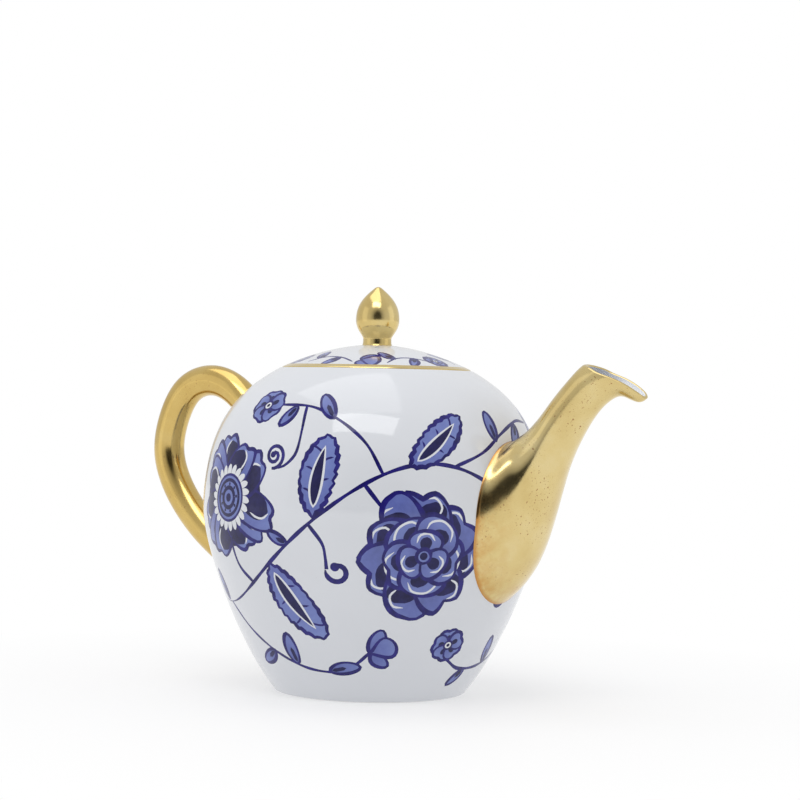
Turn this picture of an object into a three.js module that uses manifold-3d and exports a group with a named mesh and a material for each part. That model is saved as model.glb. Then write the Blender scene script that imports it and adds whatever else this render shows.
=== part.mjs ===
// Porcelain teapot: cast body with lid gallery and pierced strainer, luted spout and handle,
// and a flush lid with a deep collar and a bud knob. Millimetres, +Z up.
// Origin: centre of the foot on the table. The spout points along +X.
import * as THREE from 'three';
import { mergeVertices } from 'three/addons/utils/BufferGeometryUtils.js';
import Module from 'manifold-3d';

const wasm = await Module();
wasm.setup();

// ---- driving dimensions ---------------------------------------------------------------
const BODY_RADIUS = 65;            // widest point of the belly
const BELLY_Z = 68.9;              // height of the widest point
const FOOT_RADIUS = 35.8;
const MOUTH_RADIUS = 36.5;         // opening the lid drops into
const MOUTH_Z = 123.1;             // top edge of the mouth
const LID_RISE = 9.3;              // crown of the lid above the mouth edge
const KNOB_RADIUS = 8.3;
const NECK_RADIUS = 5.4;           // stem of the knob
const KNOB_HEIGHT = 22.1;          // crown of the lid to the knob's tip
const HANDLE_RADIUS = 6.1;         // round-section loop
const WALL = 3.2;                  // body and lid wall
const SPOUT_WALL = 2.4;
const FLOOR = 5;                   // thickness of the pot's floor
const FOOT_WIDTH = 5;
const FOOT_RECESS = 1.4;           // glazed underside, up from the table
const FOOT_EDGE = 1.2;             // rounding of the foot
const SEAT_WIDTH = 5.4;            // ledge the lid rests on
const SEAT_DEPTH = 3;
const LID_EDGE = 2.6;              // thickness of the lid at its rim
const COLLAR_WALL = 2.8;
const COLLAR_DEPTH = 11;
const VENT_RADIUS = 2;             // steam hole in the lid, on the handle side
const VENT_REACH = 17;             // from the lid's centre
const STRAINER_HALF_WIDTH = 12;
const STRAINER_HALF_HEIGHT = 15;
const HOLE_RADIUS = 1.9;
const HOLE_PITCH = 6.2;

// ---- clearances ------------------------------------------------------------------------
const LUTE_GAP = 0.3;              // slip joint between two luted pieces
const LID_GAP = 0.4;               // lid edge and collar to the body, on the radius
const REST_GAP = 0.3;              // under the lid edge

// ---- dependent sizes ----------------------------------------------------------------------
const FLOOR_Z = FOOT_RECESS + FLOOR;
const SEAT_Z = MOUTH_Z - LID_EDGE - REST_GAP;
const SEAT_RADIUS = MOUTH_RADIUS - SEAT_WIDTH;
const LID_RADIUS = MOUTH_RADIUS - LID_GAP;
const LID_BASE_Z = SEAT_Z + REST_GAP;
const COLLAR_RADIUS = SEAT_RADIUS - LID_GAP;
const CROWN_Z = MOUTH_Z + LID_RISE;
const ROUND_SEGMENTS = 48;
const CURVE_STEPS = 12;            // straight steps along one profile curve
const CURVE_JOIN = 0.3;            // points nearer than this to a cut are dropped

const v2 = (r, z) => new THREE.Vector2(r, z);
const material = (color, roughness, metalness = 0) =>
  new THREE.MeshStandardMaterial({ color, roughness, metalness });

// ---- solids -----------------------------------------------------------------------------
function toSolid(geometry) {
  geometry.deleteAttribute('normal');
  geometry.deleteAttribute('uv');
  const merged = mergeVertices(geometry, 1e-4);
  const index = merged.index.array;
  const triVerts = [];
  for (let i = 0; i < index.length; i += 3) {
    const [a, b, c] = [index[i], index[i + 1], index[i + 2]];
    if (a !== b && b !== c && c !== a) triVerts.push(a, b, c);
  }
  return new wasm.Manifold(new wasm.Mesh({
    numProp: 3,
    vertProperties: new Float32Array(merged.attributes.position.array),
    triVerts: new Uint32Array(triVerts),
  }));
}

function toMesh(name, solid, look) {
  const data = solid.getMesh();
  const geometry = new THREE.BufferGeometry();
  geometry.setAttribute('position', new THREE.Float32BufferAttribute(data.vertProperties, 3));
  geometry.setIndex(Array.from(data.triVerts));
  geometry.computeVertexNormals();
  const mesh = new THREE.Mesh(geometry, look);
  mesh.name = name;
  return mesh;
}

// A profile that starts and ends on the axis, or closes on itself, turned about Z.
function turned(profile, segments = ROUND_SEGMENTS) {
  const geometry = new THREE.LatheGeometry(profile, segments);
  geometry.rotateX(Math.PI / 2);
  return toSolid(geometry);
}

function curve(p0, p1, p2, p3, steps = CURVE_STEPS) {
  return new THREE.CubicBezierCurve(p0, p1, p2, p3).getPoints(steps);
}

// Moves an outline sideways; the outline runs upwards with the clay on its left.
function offset(points, distance) {
  return points.map((point, i) => {
    const before = points[Math.max(i - 1, 0)];
    const after = points[Math.min(i + 1, points.length - 1)];
    const along = after.clone().sub(before).normalize();
    return v2(point.x + along.y * distance, point.y - along.x * distance);
  });
}

// The point where an upward-running outline reaches a height.
function atHeight(points, z) {
  const i = points.findIndex((p) => p.y >= z);
  const share = (z - points[i - 1].y) / (points[i].y - points[i - 1].y);
  return points[i - 1].clone().lerp(points[i], share);
}

// The height at which an outline closes in to a radius near the mouth.
function heightAtRadius(points, radius) {
  const i = points.findLastIndex((p) => p.x >= radius);
  const share = (points[i].x - radius) / (points[i].x - points[i + 1].x);
  return points[i].y + (points[i + 1].y - points[i].y) * share;
}

// The stretch of an upward-running outline between two heights, cut exactly at both.
function between(points, low, high) {
  const inside = points.filter((p) => p.y > low + CURVE_JOIN && p.y < high - CURVE_JOIN);
  return [atHeight(points, low), ...inside, atHeight(points, high)];
}

// ---- body ---------------------------------------------------------------------------------
// Foot to belly to mouth: two curves that share an upright tangent at the belly.
const bellySwell = (BODY_RADIUS - FOOT_RADIUS) / 2;
const footCurve = curve(
  v2(FOOT_RADIUS, 0),
  v2(FOOT_RADIUS + bellySwell * 1.03, BELLY_Z * 0.252),
  v2(BODY_RADIUS, BELLY_Z * 0.821),
  v2(BODY_RADIUS, BELLY_Z));
const shoulderCurve = curve(
  v2(BODY_RADIUS, BELLY_Z),
  v2(BODY_RADIUS, BELLY_Z + (MOUTH_Z - BELLY_Z) * 0.61),
  v2(MOUTH_RADIUS + (BODY_RADIUS - MOUTH_RADIUS) * 0.562, MOUTH_Z - (MOUTH_Z - BELLY_Z) * 0.164),
  v2(MOUTH_RADIUS, MOUTH_Z));
const outerCurve = [...footCurve, ...shoulderCurve.slice(1)];
const outerWall = outerCurve.filter((p) => p.y > FOOT_EDGE * 1.5);
const innerCurve = offset(outerCurve, -WALL);
const innerWall = between(innerCurve, FLOOR_Z + WALL, heightAtRadius(innerCurve, MOUTH_RADIUS));
const floorRadius = innerWall[0].x - WALL * 1.6;

const footInner = FOOT_RADIUS - FOOT_WIDTH;
const bodyProfile = [
  v2(0, FOOT_RECESS),
  v2(footInner - FOOT_EDGE, FOOT_RECESS),
  v2(footInner, FOOT_EDGE),
  v2(footInner + FOOT_EDGE, 0),
  v2(FOOT_RADIUS - FOOT_EDGE, 0),
  v2(FOOT_RADIUS, FOOT_EDGE / 2),
  ...outerWall,
  ...innerWall.slice().reverse(),
  v2(floorRadius, FLOOR_Z),
  v2(0, FLOOR_Z),
];

// The gallery: a ring luted inside the mouth, whose top is the ledge the lid rests on.
const galleryRadius = MOUTH_RADIUS - LUTE_GAP;
const galleryCurve = offset(outerCurve, -WALL - LUTE_GAP);
const gallery = turned([
  v2(SEAT_RADIUS, SEAT_Z - SEAT_DEPTH),
  ...between(galleryCurve, SEAT_Z - SEAT_DEPTH, heightAtRadius(galleryCurve, galleryRadius)),
  v2(galleryRadius, SEAT_Z),
  v2(SEAT_RADIUS, SEAT_Z),
  v2(SEAT_RADIUS, SEAT_Z - SEAT_DEPTH),
]);

// The body's outside grown by the slip joint, to trim what is luted against it.
const trimBody = turned([v2(0, -LUTE_GAP), ...offset(outerCurve, LUTE_GAP), v2(0, CROWN_Z)]);
const shell = turned(bodyProfile);

// ---- strainer: a pierced plate let into the wall behind the spout --------------------------
const STRAINER_Z = MOUTH_Z * 0.536;    // level with the middle of the spout's root
const REACH = BODY_RADIUS * 1.2;

// An oval bar along +X from the middle of the pot out through the wall.
function bar(halfWidth, halfHeight, y, z, segments) {
  const oval = new THREE.Shape(new THREE.EllipseCurve(0, 0, halfHeight, halfWidth)
    .getPoints(segments).slice(0, segments));
  const geometry = new THREE.ExtrudeGeometry(oval, { depth: REACH, bevelEnabled: false });
  geometry.rotateY(Math.PI / 2);
  geometry.translate(BODY_RADIUS / 4, y, z);
  return toSolid(geometry);
}

const opening = bar(STRAINER_HALF_WIDTH, STRAINER_HALF_HEIGHT, 0, STRAINER_Z, 24);
let strainer = shell.intersect(
  bar(STRAINER_HALF_WIDTH - LUTE_GAP, STRAINER_HALF_HEIGHT - LUTE_GAP, 0, STRAINER_Z, 24));
const rowPitch = HOLE_PITCH * Math.sqrt(3) / 2;
for (let row = -2; row <= 2; row += 1) {
  const inRow = row % 2 === 0 ? 3 : 2;
  for (let k = 0; k < inRow; k += 1) {
    const y = (k - (inRow - 1) / 2) * HOLE_PITCH;
    strainer = strainer.subtract(
      bar(HOLE_RADIUS, HOLE_RADIUS, y, STRAINER_Z + row * rowPitch, 8));
  }
}
const body = shell.subtract(opening);

// ---- spout ----------------------------------------------------------------------------------
// Points in the middle plane are [millimetres out from the belly, share of the mouth's
// height], so that the spout and handle follow the pot's girth and rise with its mouth.
const beyond = ([x, rise], side = 1) => v2(side * (BODY_RADIUS + x), MOUTH_Z * rise);

// Each station is one oval cross-section: the point on its upper line, the point on its
// lower line and its half width.
const stations = [
  { upper: [-13, 0.760], lower: [-19, 0.300], half: 22.4 },
  { upper: [-4.5, 0.781], lower: [-8.4, 0.307], half: 24.2 },
  { upper: [0, 0.804], lower: [-0.4, 0.365], half: 21.4 },
  { upper: [4.7, 0.833], lower: [5.8, 0.449], half: 16.8 },
  { upper: [9.7, 0.879], lower: [10.6, 0.556], half: 13.7 },
  { upper: [14.7, 0.932], lower: [15.6, 0.682], half: 11.6 },
  { upper: [19.6, 0.978], lower: [22.1, 0.790], half: 9.8 },
  { upper: [25.4, 1.025], lower: [29.4, 0.877], half: 8.2 },
  { upper: [33, 1.048], lower: [35.6, 0.920], half: 7.1 },
  { upper: [39.5, 1.040], lower: [40, 0.931], half: 5.9 },
  { upper: [45.4, 1.007], lower: [43.8, 0.921], half: 4.8 },
  { upper: [50.4, 0.975], lower: [47.2, 0.908], half: 3.4 },
];
const MOUTH_LINE = [[-16, 1.113], [24.5, 1.022], [33, 0.996], [38.6, 0.981], [42.8, 0.966],
  [46.2, 0.950], [48.8, 0.933], [50.6, 0.906], [52, 0.877]];
const SPOUT_STEPS = 26;
const SPOUT_ROUND = 24;

// Ovals spanning smooth upper and lower lines, all drawn in by `inset` for the bore.
function loft(inset) {
  const smooth = (points) => new THREE.SplineCurve(points).getPoints(SPOUT_STEPS);
  const upper = offset(smooth(stations.map((s) => beyond(s.upper))), inset);
  const lower = offset(smooth(stations.map((s) => beyond(s.lower))), -inset);
  const widths = smooth(stations.map((s, i) => v2(i, s.half - inset)));
  // the bore runs out past the root and the lip
  const overrun = (i) => (i === 0 ? -inset : i === SPOUT_STEPS ? inset : 0);
  const positions = [];
  const index = [];
  for (let i = 0; i <= SPOUT_STEPS; i += 1) {
    const centre = upper[i].clone().add(lower[i]).multiplyScalar(0.5);
    const arm = upper[i].clone().sub(lower[i]).multiplyScalar(0.5);
    for (let k = 0; k < SPOUT_ROUND; k += 1) {
      const a = (k / SPOUT_ROUND) * Math.PI * 2;
      positions.push(
        centre.x + arm.x * Math.cos(a) + overrun(i),
        widths[i].y * Math.sin(a),
        centre.y + arm.y * Math.cos(a));
    }
  }
  for (let i = 0; i < SPOUT_STEPS; i += 1) {
    for (let k = 0; k < SPOUT_ROUND; k += 1) {
      const a = i * SPOUT_ROUND + k;
      const b = i * SPOUT_ROUND + (k + 1) % SPOUT_ROUND;
      index.push(a, a + SPOUT_ROUND, b, b, a + SPOUT_ROUND, b + SPOUT_ROUND);
    }
  }
  const end = SPOUT_STEPS * SPOUT_ROUND;
  for (let k = 1; k < SPOUT_ROUND - 1; k += 1) {
    index.push(0, k, k + 1, end, end + k + 1, end + k);
  }
  const geometry = new THREE.BufferGeometry();
  geometry.setAttribute('position', new THREE.Float32BufferAttribute(positions, 3));
  geometry.setIndex(index);
  return toSolid(geometry);
}

// Everything above the slanted mouth of the spout.
function aboveMouth() {
  const line = new THREE.SplineCurve(MOUTH_LINE.map((point) => beyond(point))).getPoints(20);
  const top = MOUTH_Z * 1.3;
  const end = line[line.length - 1];
  const shape = new THREE.Shape([...line, v2(end.x + BODY_RADIUS, end.y),
    v2(end.x + BODY_RADIUS, top), v2(line[0].x, top)]);
  const geometry = new THREE.ExtrudeGeometry(shape, { depth: BODY_RADIUS, bevelEnabled: false });
  geometry.translate(0, 0, -BODY_RADIUS / 2);
  geometry.rotateX(Math.PI / 2);
  return toSolid(geometry);
}

const spout = loft(0).subtract(loft(SPOUT_WALL)).subtract(trimBody).subtract(aboveMouth());

// ---- handle ---------------------------------------------------------------------------------
// Ear-shaped loop: out from the shoulder, over, down and back in low on the belly.
const HANDLE_LINE = [[-13, 0.808], [-7.5, 0.858], [2.4, 0.931], [14.7, 0.959], [27.8, 0.912],
  [35.1, 0.755], [31.9, 0.639], [24.4, 0.547], [16.1, 0.478], [8.1, 0.428], [-5, 0.357], [-13, 0.317]];
const HANDLE_STEPS = 40;
const HANDLE_ROUND = 18;
const handlePath = new THREE.CatmullRomCurve3(
  HANDLE_LINE.map((point) => beyond(point, -1)).map((p) => new THREE.Vector3(p.x, 0, p.y)));
const handleRound = new THREE.Shape(new THREE.EllipseCurve(0, 0, HANDLE_RADIUS, HANDLE_RADIUS)
  .getPoints(HANDLE_ROUND).slice(0, HANDLE_ROUND));
const handle = toSolid(new THREE.ExtrudeGeometry(handleRound, {
  steps: HANDLE_STEPS, extrudePath: handlePath,
})).subtract(trimBody);

// ---- lid ---------------------------------------------------------------------------------------
const domeCurve = curve(
  v2(LID_RADIUS, MOUTH_Z + LID_GAP / 2),
  v2(LID_RADIUS * 0.75, MOUTH_Z + LID_RISE * 0.49),
  v2(LID_RADIUS * 0.39, CROWN_Z),
  v2(0, CROWN_Z));
const collarInner = COLLAR_RADIUS - COLLAR_WALL;
const underCurve = curve(
  v2(collarInner, LID_BASE_Z),
  v2(collarInner * 0.92, MOUTH_Z + LID_RISE * 0.3),
  v2(collarInner * 0.45, CROWN_Z - WALL),
  v2(0, CROWN_Z - WALL), CURVE_STEPS / 2);
const vent = toSolid(new THREE.CylinderGeometry(VENT_RADIUS, VENT_RADIUS, LID_RISE * 3, 12)
  .rotateX(Math.PI / 2).translate(-VENT_REACH, 0, CROWN_Z));
const lidDome = turned([
  v2(0, CROWN_Z - WALL), ...underCurve.slice(0, -1).reverse(),
  v2(LID_RADIUS, LID_BASE_Z), ...domeCurve,
]).subtract(vent);

const collarTop = LID_BASE_Z - LUTE_GAP;
const collar = turned([
  v2(collarInner, collarTop - COLLAR_DEPTH),
  v2(COLLAR_RADIUS - COLLAR_WALL / 3, collarTop - COLLAR_DEPTH),
  v2(COLLAR_RADIUS, collarTop - COLLAR_DEPTH + COLLAR_WALL),
  v2(COLLAR_RADIUS, collarTop),
  v2(collarInner, collarTop),
  v2(collarInner, collarTop - COLLAR_DEPTH),
]);

const knobZ = (part) => CROWN_Z + KNOB_HEIGHT * part;
const knob = turned([
  v2(0, CROWN_Z + LUTE_GAP),
  v2(NECK_RADIUS, CROWN_Z + LUTE_GAP / 2),
  v2(NECK_RADIUS, knobZ(0.1)),
  ...curve(v2(NECK_RADIUS, knobZ(0.12)), v2(NECK_RADIUS * 1.1, knobZ(0.18)),
    v2(KNOB_RADIUS, knobZ(0.27)), v2(KNOB_RADIUS, knobZ(0.43)), CURVE_STEPS / 2),
  ...curve(v2(KNOB_RADIUS, knobZ(0.43)), v2(KNOB_RADIUS, knobZ(0.67)),
    v2(KNOB_RADIUS * 0.42, knobZ(0.82)), v2(0, knobZ(1)), CURVE_STEPS * 0.75).slice(1),
], ROUND_SEGMENTS / 2);

// ---- assembly -------------------------------------------------------------------------------
const porcelain = () => material(0xd8dade, 0.12);
const gold = () => material(0xc8b37a, 0.16, 1);
const group = new THREE.Group();
group.name = 'gzhel_porcelain_teapot';
group.add(
  toMesh('pot_body', body, porcelain()),
  toMesh('lid_gallery', gallery, porcelain()),
  toMesh('strainer_plate', strainer, porcelain()),
  toMesh('spout', spout, gold()),
  toMesh('handle', handle, gold()),
  toMesh('lid_dome', lidDome, porcelain()),
  toMesh('lid_collar', collar, porcelain()),
  toMesh('lid_knob', knob, gold()),
);
export default group;
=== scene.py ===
"""Porcelain teapot: painted vine decoration, gilded spout, handle and knob."""
import math

import bpy
import numpy as np
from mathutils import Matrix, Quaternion, Vector
from mathutils.geometry import delaunay_2d_cdt


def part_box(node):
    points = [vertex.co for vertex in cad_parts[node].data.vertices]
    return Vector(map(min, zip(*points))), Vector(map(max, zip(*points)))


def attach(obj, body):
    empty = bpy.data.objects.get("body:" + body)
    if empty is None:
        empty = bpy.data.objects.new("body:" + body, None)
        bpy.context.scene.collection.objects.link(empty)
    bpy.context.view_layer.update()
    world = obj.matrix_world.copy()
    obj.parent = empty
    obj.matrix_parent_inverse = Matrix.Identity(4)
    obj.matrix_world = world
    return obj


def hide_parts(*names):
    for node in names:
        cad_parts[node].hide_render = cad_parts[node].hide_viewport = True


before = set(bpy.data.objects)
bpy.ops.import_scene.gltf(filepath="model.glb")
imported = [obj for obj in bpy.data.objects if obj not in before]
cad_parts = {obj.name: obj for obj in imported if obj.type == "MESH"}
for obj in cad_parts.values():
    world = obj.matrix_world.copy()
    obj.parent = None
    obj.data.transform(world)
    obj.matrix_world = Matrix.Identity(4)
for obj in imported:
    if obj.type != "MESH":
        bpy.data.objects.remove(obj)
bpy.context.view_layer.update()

bl_info = {
    "name": "Painted porcelain teapot",
    "version": (1, 0, 0),
    "blender": (4, 5, 0),
    "location": "View3D > Sidebar > Teapot",
    "description": "Builds a painted and gilded porcelain teapot piece by piece",
    "category": "Object",
}

MM = 0.001

# ---- sizes in millimetres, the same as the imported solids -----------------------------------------
BODY_BOX = [[c / MM for c in corner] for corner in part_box("pot_body")]
BODY_RADIUS = BODY_BOX[1][1]
MOUTH_Z = BODY_BOX[1][2]
BELLY_Z = 68.9
FOOT_RADIUS = 35.8
FOOT_WIDTH = 5.0
FOOT_RECESS = 1.4
FLOOR_Z = 6.4
MOUTH_RADIUS = 36.5
WALL = 3.2
SEAT_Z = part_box("lid_gallery")[1][2] / MM
SEAT_RADIUS = 31.1
SEAT_DEPTH = 3.0
LID_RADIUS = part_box("lid_dome")[1][0] / MM
LID_BASE_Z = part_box("lid_dome")[0][2] / MM
CROWN_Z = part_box("lid_dome")[1][2] / MM
COLLAR_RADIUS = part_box("lid_collar")[1][0] / MM
COLLAR_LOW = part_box("lid_collar")[0][2] / MM
COLLAR_WALL = 2.8
VENT_RADIUS = 2.0
VENT_REACH = 17.0
KNOB_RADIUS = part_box("lid_knob")[1][1] / MM
KNOB_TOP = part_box("lid_knob")[1][2] / MM
NECK_RADIUS = 5.4
HANDLE_RADIUS = 6.1
SPOUT_WALL = 2.0
STRAINER_HALF_WIDTH = 12.0
STRAINER_HALF_HEIGHT = 15.0
HOLE_RADIUS = 1.9
HOLE_PITCH = 6.2

ROUND = 160                # straight steps round a turned piece
RING = 96                  # straight steps round the gallery and the collar
SEAM_TURN = -139.0         # bearing of the chart's seam, clear of every painted shape
SUNK = 0.35                # how deep a luted piece's root sits in the glaze
ROW = 2.4                  # spacing of the skin's plain points

# ---- finishes by slot ----------------------------------------------------------------------------
GLAZE, WASH, LINE, CORE, GILT, BISCUIT = range(6)


# ---- settings ------------------------------------------------------------------------------------
class TeapotPaint(bpy.types.PropertyGroup):
    line_width: bpy.props.FloatProperty(
        name="Line width", description="Width of the vine's stems", default=1.15 * MM,
        min=0.2 * MM, max=4 * MM, unit="LENGTH", subtype="DISTANCE")
    outline_width: bpy.props.FloatProperty(
        name="Outline width", description="Width of the dark line round petals and leaves",
        default=1.25 * MM, min=0.2 * MM, max=4 * MM, unit="LENGTH", subtype="DISTANCE")
    gilt_width: bpy.props.FloatProperty(
        name="Gilt line", description="Width of the gold line at the lid's edge",
        default=2.5 * MM, min=0.2 * MM, max=8 * MM, unit="LENGTH", subtype="DISTANCE")
    wash_colour: bpy.props.FloatVectorProperty(
        name="Wash", description="Middle blue of petals and leaves", size=3,
        default=(0.115, 0.145, 0.420), min=0, max=1, subtype="COLOR")
    light_colour: bpy.props.FloatVectorProperty(
        name="Light wash", description="Thin blue near a petal's tip", size=3,
        default=(0.190, 0.248, 0.555), min=0, max=1, subtype="COLOR")
    line_colour: bpy.props.FloatVectorProperty(
        name="Line", description="Dark blue of stems and outlines", size=3,
        default=(0.012, 0.009, 0.118), min=0, max=1, subtype="COLOR")
    core_colour: bpy.props.FloatVectorProperty(
        name="Core", description="Darkest blue inside petals and leaves", size=3,
        default=(0.007, 0.006, 0.064), min=0, max=1, subtype="COLOR")


class TeapotFinish(bpy.types.PropertyGroup):
    glaze_colour: bpy.props.FloatVectorProperty(
        name="Glaze", description="White glaze over the porcelain", size=3,
        default=(0.70, 0.718, 0.758), min=0, max=1, subtype="COLOR")
    glaze_roughness: bpy.props.FloatProperty(
        name="Glaze roughness", description="Gloss of the glaze", default=0.07,
        min=0, max=1, subtype="FACTOR")
    gold_colour: bpy.props.FloatVectorProperty(
        name="Gold", description="Burnished gold", size=3,
        default=(0.71, 0.565, 0.26), min=0, max=1, subtype="COLOR")
    gold_roughness: bpy.props.FloatProperty(
        name="Gold roughness", description="Gloss of the burnished gold", default=0.16,
        min=0, max=1, subtype="FACTOR")


# ---- materials -----------------------------------------------------------------------------------
def new_material(name):
    material = bpy.data.materials.new(name)
    material.use_nodes = True
    tree = material.node_tree
    shader = tree.nodes["Principled BSDF"]
    return material, tree, shader


def node(tree, kind, **settings):
    made = tree.nodes.new(kind)
    for key, value in settings.items():
        if hasattr(made, key):
            setattr(made, key, value)
        else:
            made.inputs[key].default_value = value
    return made


def noise_of(tree, scale, detail=2.0, roughness=0.5):
    place = node(tree, "ShaderNodeTexCoord")
    noise = node(tree, "ShaderNodeTexNoise", noise_dimensions="3D")
    noise.inputs["Scale"].default_value = scale
    noise.inputs["Detail"].default_value = detail
    noise.inputs["Roughness"].default_value = roughness
    tree.links.new(place.outputs["Object"], noise.inputs["Vector"])
    return noise.outputs["Fac"]


def ramp(tree, source, stops):
    made = node(tree, "ShaderNodeValToRGB")
    elements = made.color_ramp.elements
    while len(elements) > 1:
        elements.remove(elements[0])
    elements[0].position, elements[0].color = stops[0][0], (*stops[0][1], 1)
    for position, colour in stops[1:]:
        elements.new(position).color = (*colour, 1)
    tree.links.new(source, made.inputs["Fac"])
    return made.outputs["Color"]


def grey(value):
    return (value, value, value)


def mixed(tree, factor, first, second, blend="MIX"):
    made = node(tree, "ShaderNodeMix", data_type="RGBA", blend_type=blend)
    for socket, value in (("Factor", factor), ("A", first), ("B", second)):
        target = next(s for s in made.inputs if s.name == socket and
                      s.type == ("VALUE" if socket == "Factor" else "RGBA"))
        if isinstance(value, bpy.types.NodeSocket):
            tree.links.new(value, target)
        elif isinstance(value, (int, float)):
            target.default_value = value
        else:
            target.default_value = (*value, 1)
    return next(s for s in made.outputs if s.type == "RGBA")


def times(tree, first, second):
    """The product of two values, each a socket or a number."""
    made = node(tree, "ShaderNodeMath", operation="MULTIPLY")
    for target, value in zip(made.inputs, (first, second)):
        if isinstance(value, bpy.types.NodeSocket):
            tree.links.new(value, target)
        else:
            target.default_value = value
    return made.outputs[0]


def bumped(tree, shader, height, strength, distance):
    bump = node(tree, "ShaderNodeBump")
    bump.inputs["Strength"].default_value = strength
    bump.inputs["Distance"].default_value = distance
    tree.links.new(height, bump.inputs["Height"])
    tree.links.new(bump.outputs["Normal"], shader.inputs["Normal"])


def glossy_skin(tree, shader, finish):
    """The glass-smooth glaze with its faint unevenness."""
    spread = ramp(tree, noise_of(tree, 45, 3), [
        (0.3, grey(finish.glaze_roughness * 0.8)), (0.7, grey(finish.glaze_roughness * 1.3))])
    tree.links.new(spread, shader.inputs["Roughness"])
    shader.inputs["IOR"].default_value = 1.52
    bumped(tree, shader, noise_of(tree, 28, 1.0), 0.05, 0.4 * MM)


def glaze_material(finish):
    material, tree, shader = new_material("white_glaze")
    white = finish.glaze_colour
    tint = ramp(tree, noise_of(tree, 22, 3), [
        (0.3, [c * 0.975 for c in white]), (0.7, [min(1, c * 1.015) for c in white])])
    specks = ramp(tree, noise_of(tree, 900, 1), [(0.77, grey(0)), (0.80, grey(0.25))])
    tree.links.new(mixed(tree, specks, tint, [c * 0.8 for c in white]),
                   shader.inputs["Base Color"])
    glossy_skin(tree, shader, finish)
    return material


def wash_material(paint, finish):
    material, tree, shader = new_material("cobalt_wash")
    tone = node(tree, "ShaderNodeAttribute", attribute_name="tone")
    brushed = node(tree, "ShaderNodeMath", operation="MULTIPLY_ADD")
    tree.links.new(noise_of(tree, 330, 5, 0.65), brushed.inputs[0])
    brushed.inputs[1].default_value = 0.55
    tree.links.new(tone.outputs["Fac"], brushed.inputs[2])
    shifted = node(tree, "ShaderNodeMath", operation="SUBTRACT")
    tree.links.new(brushed.outputs[0], shifted.inputs[0])
    shifted.inputs[1].default_value = 0.27
    deep = [c * 0.62 for c in paint.wash_colour]
    colour = ramp(tree, shifted.outputs[0], [
        (0.0, deep), (0.38, paint.wash_colour), (1.0, paint.light_colour)])
    tree.links.new(colour, shader.inputs["Base Color"])
    glossy_skin(tree, shader, finish)
    return material


def pigment_material(name, colour, finish, lift):
    """A dense brush line: darker where the pigment pooled."""
    material, tree, shader = new_material(name)
    shade = ramp(tree, noise_of(tree, 260, 4, 0.6), [
        (0.32, [c * 0.75 for c in colour]), (0.68, [c * lift + 0.004 for c in colour])])
    tree.links.new(shade, shader.inputs["Base Color"])
    glossy_skin(tree, shader, finish)
    shader.inputs["Specular IOR Level"].default_value = 0.33
    return material


def biscuit_material():
    material, tree, shader = new_material("unglazed_foot")
    shade = ramp(tree, noise_of(tree, 420, 5, 0.6), [
        (0.3, (0.55, 0.53, 0.50)), (0.7, (0.70, 0.69, 0.66))])
    tree.links.new(shade, shader.inputs["Base Color"])
    shader.inputs["Roughness"].default_value = 0.75
    bumped(tree, shader, noise_of(tree, 1500, 3), 0.4, 0.08 * MM)
    return material


def gold_material(name, finish, tarnish, tint_and_shade=(1, 1, 1)):
    """Burnished gold: cloudy sheen, fine pits, and amber tarnish where `tarnish` is above 0. The last
    factors scale the gold for one piece; on the handle they darken it as painted shade.
    """
    material, tree, shader = new_material(name)
    gold = [c * d for c, d in zip(finish.gold_colour, tint_and_shade)]
    cloud = ramp(tree, noise_of(tree, 60, 5, 0.6), [
        (0.3, [gold[0] * 0.90, gold[1] * 0.86, gold[2] * 0.78]),
        (0.55, gold),
        (0.75, [min(1, gold[0] * 1.05), min(1, gold[1] * 1.09), gold[2] * 1.25])])
    edge = node(tree, "ShaderNodeAttribute", attribute_name="tone")
    blotches = ramp(tree, noise_of(tree, 130, 4, 0.65), [(0.40, grey(0)), (0.62, grey(1))])
    stain = times(tree, times(tree, edge.outputs["Fac"], blotches), tarnish)
    amber = (gold[0] * 0.83, gold[1] * 0.56, gold[2] * 0.34)
    stained = mixed(tree, stain, cloud, amber)
    rim = ramp(tree, edge.outputs["Fac"], [(0.72, grey(0)), (0.96, grey(0.8 * tarnish))])
    stained = mixed(tree, rim, stained, (gold[0] * 0.72, gold[1] * 0.42, gold[2] * 0.25))
    pits = ramp(tree, noise_of(tree, 1300, 1.5), [(0.66, grey(0)), (0.70, grey(1))])
    patch = ramp(tree, noise_of(tree, 75, 2), [(0.50, grey(0)), (0.62, grey(0.8 * tarnish))])
    tree.links.new(mixed(tree, times(tree, pits, patch), stained, (0.30, 0.12, 0.05)),
                   shader.inputs["Base Color"])
    shader.inputs["Metallic"].default_value = 1.0
    spread = ramp(tree, noise_of(tree, 85, 5, 0.65), [
        (0.3, grey(finish.gold_roughness * 0.75)), (0.7, grey(finish.gold_roughness * 1.35))])
    tree.links.new(spread, shader.inputs["Roughness"])
    bumped(tree, shader, noise_of(tree, 40, 2), 0.10, 0.5 * MM)
    return material


def painted_light_bore_material(finish):
    material, tree, shader = new_material("bore_glaze_painted_light")
    # Painted light: the white glaze made about a fifth lighter inside the spout, to light its shaded
    # bore.
    shade = ramp(tree, noise_of(tree, 60, 2), [
        (0.3, [min(1, c * 1.16) for c in finish.glaze_colour]),
        (0.7, [min(1, c * 1.22) for c in finish.glaze_colour])])
    tree.links.new(shade, shader.inputs["Base Color"])
    glossy_skin(tree, shader, finish)
    return material


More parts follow.
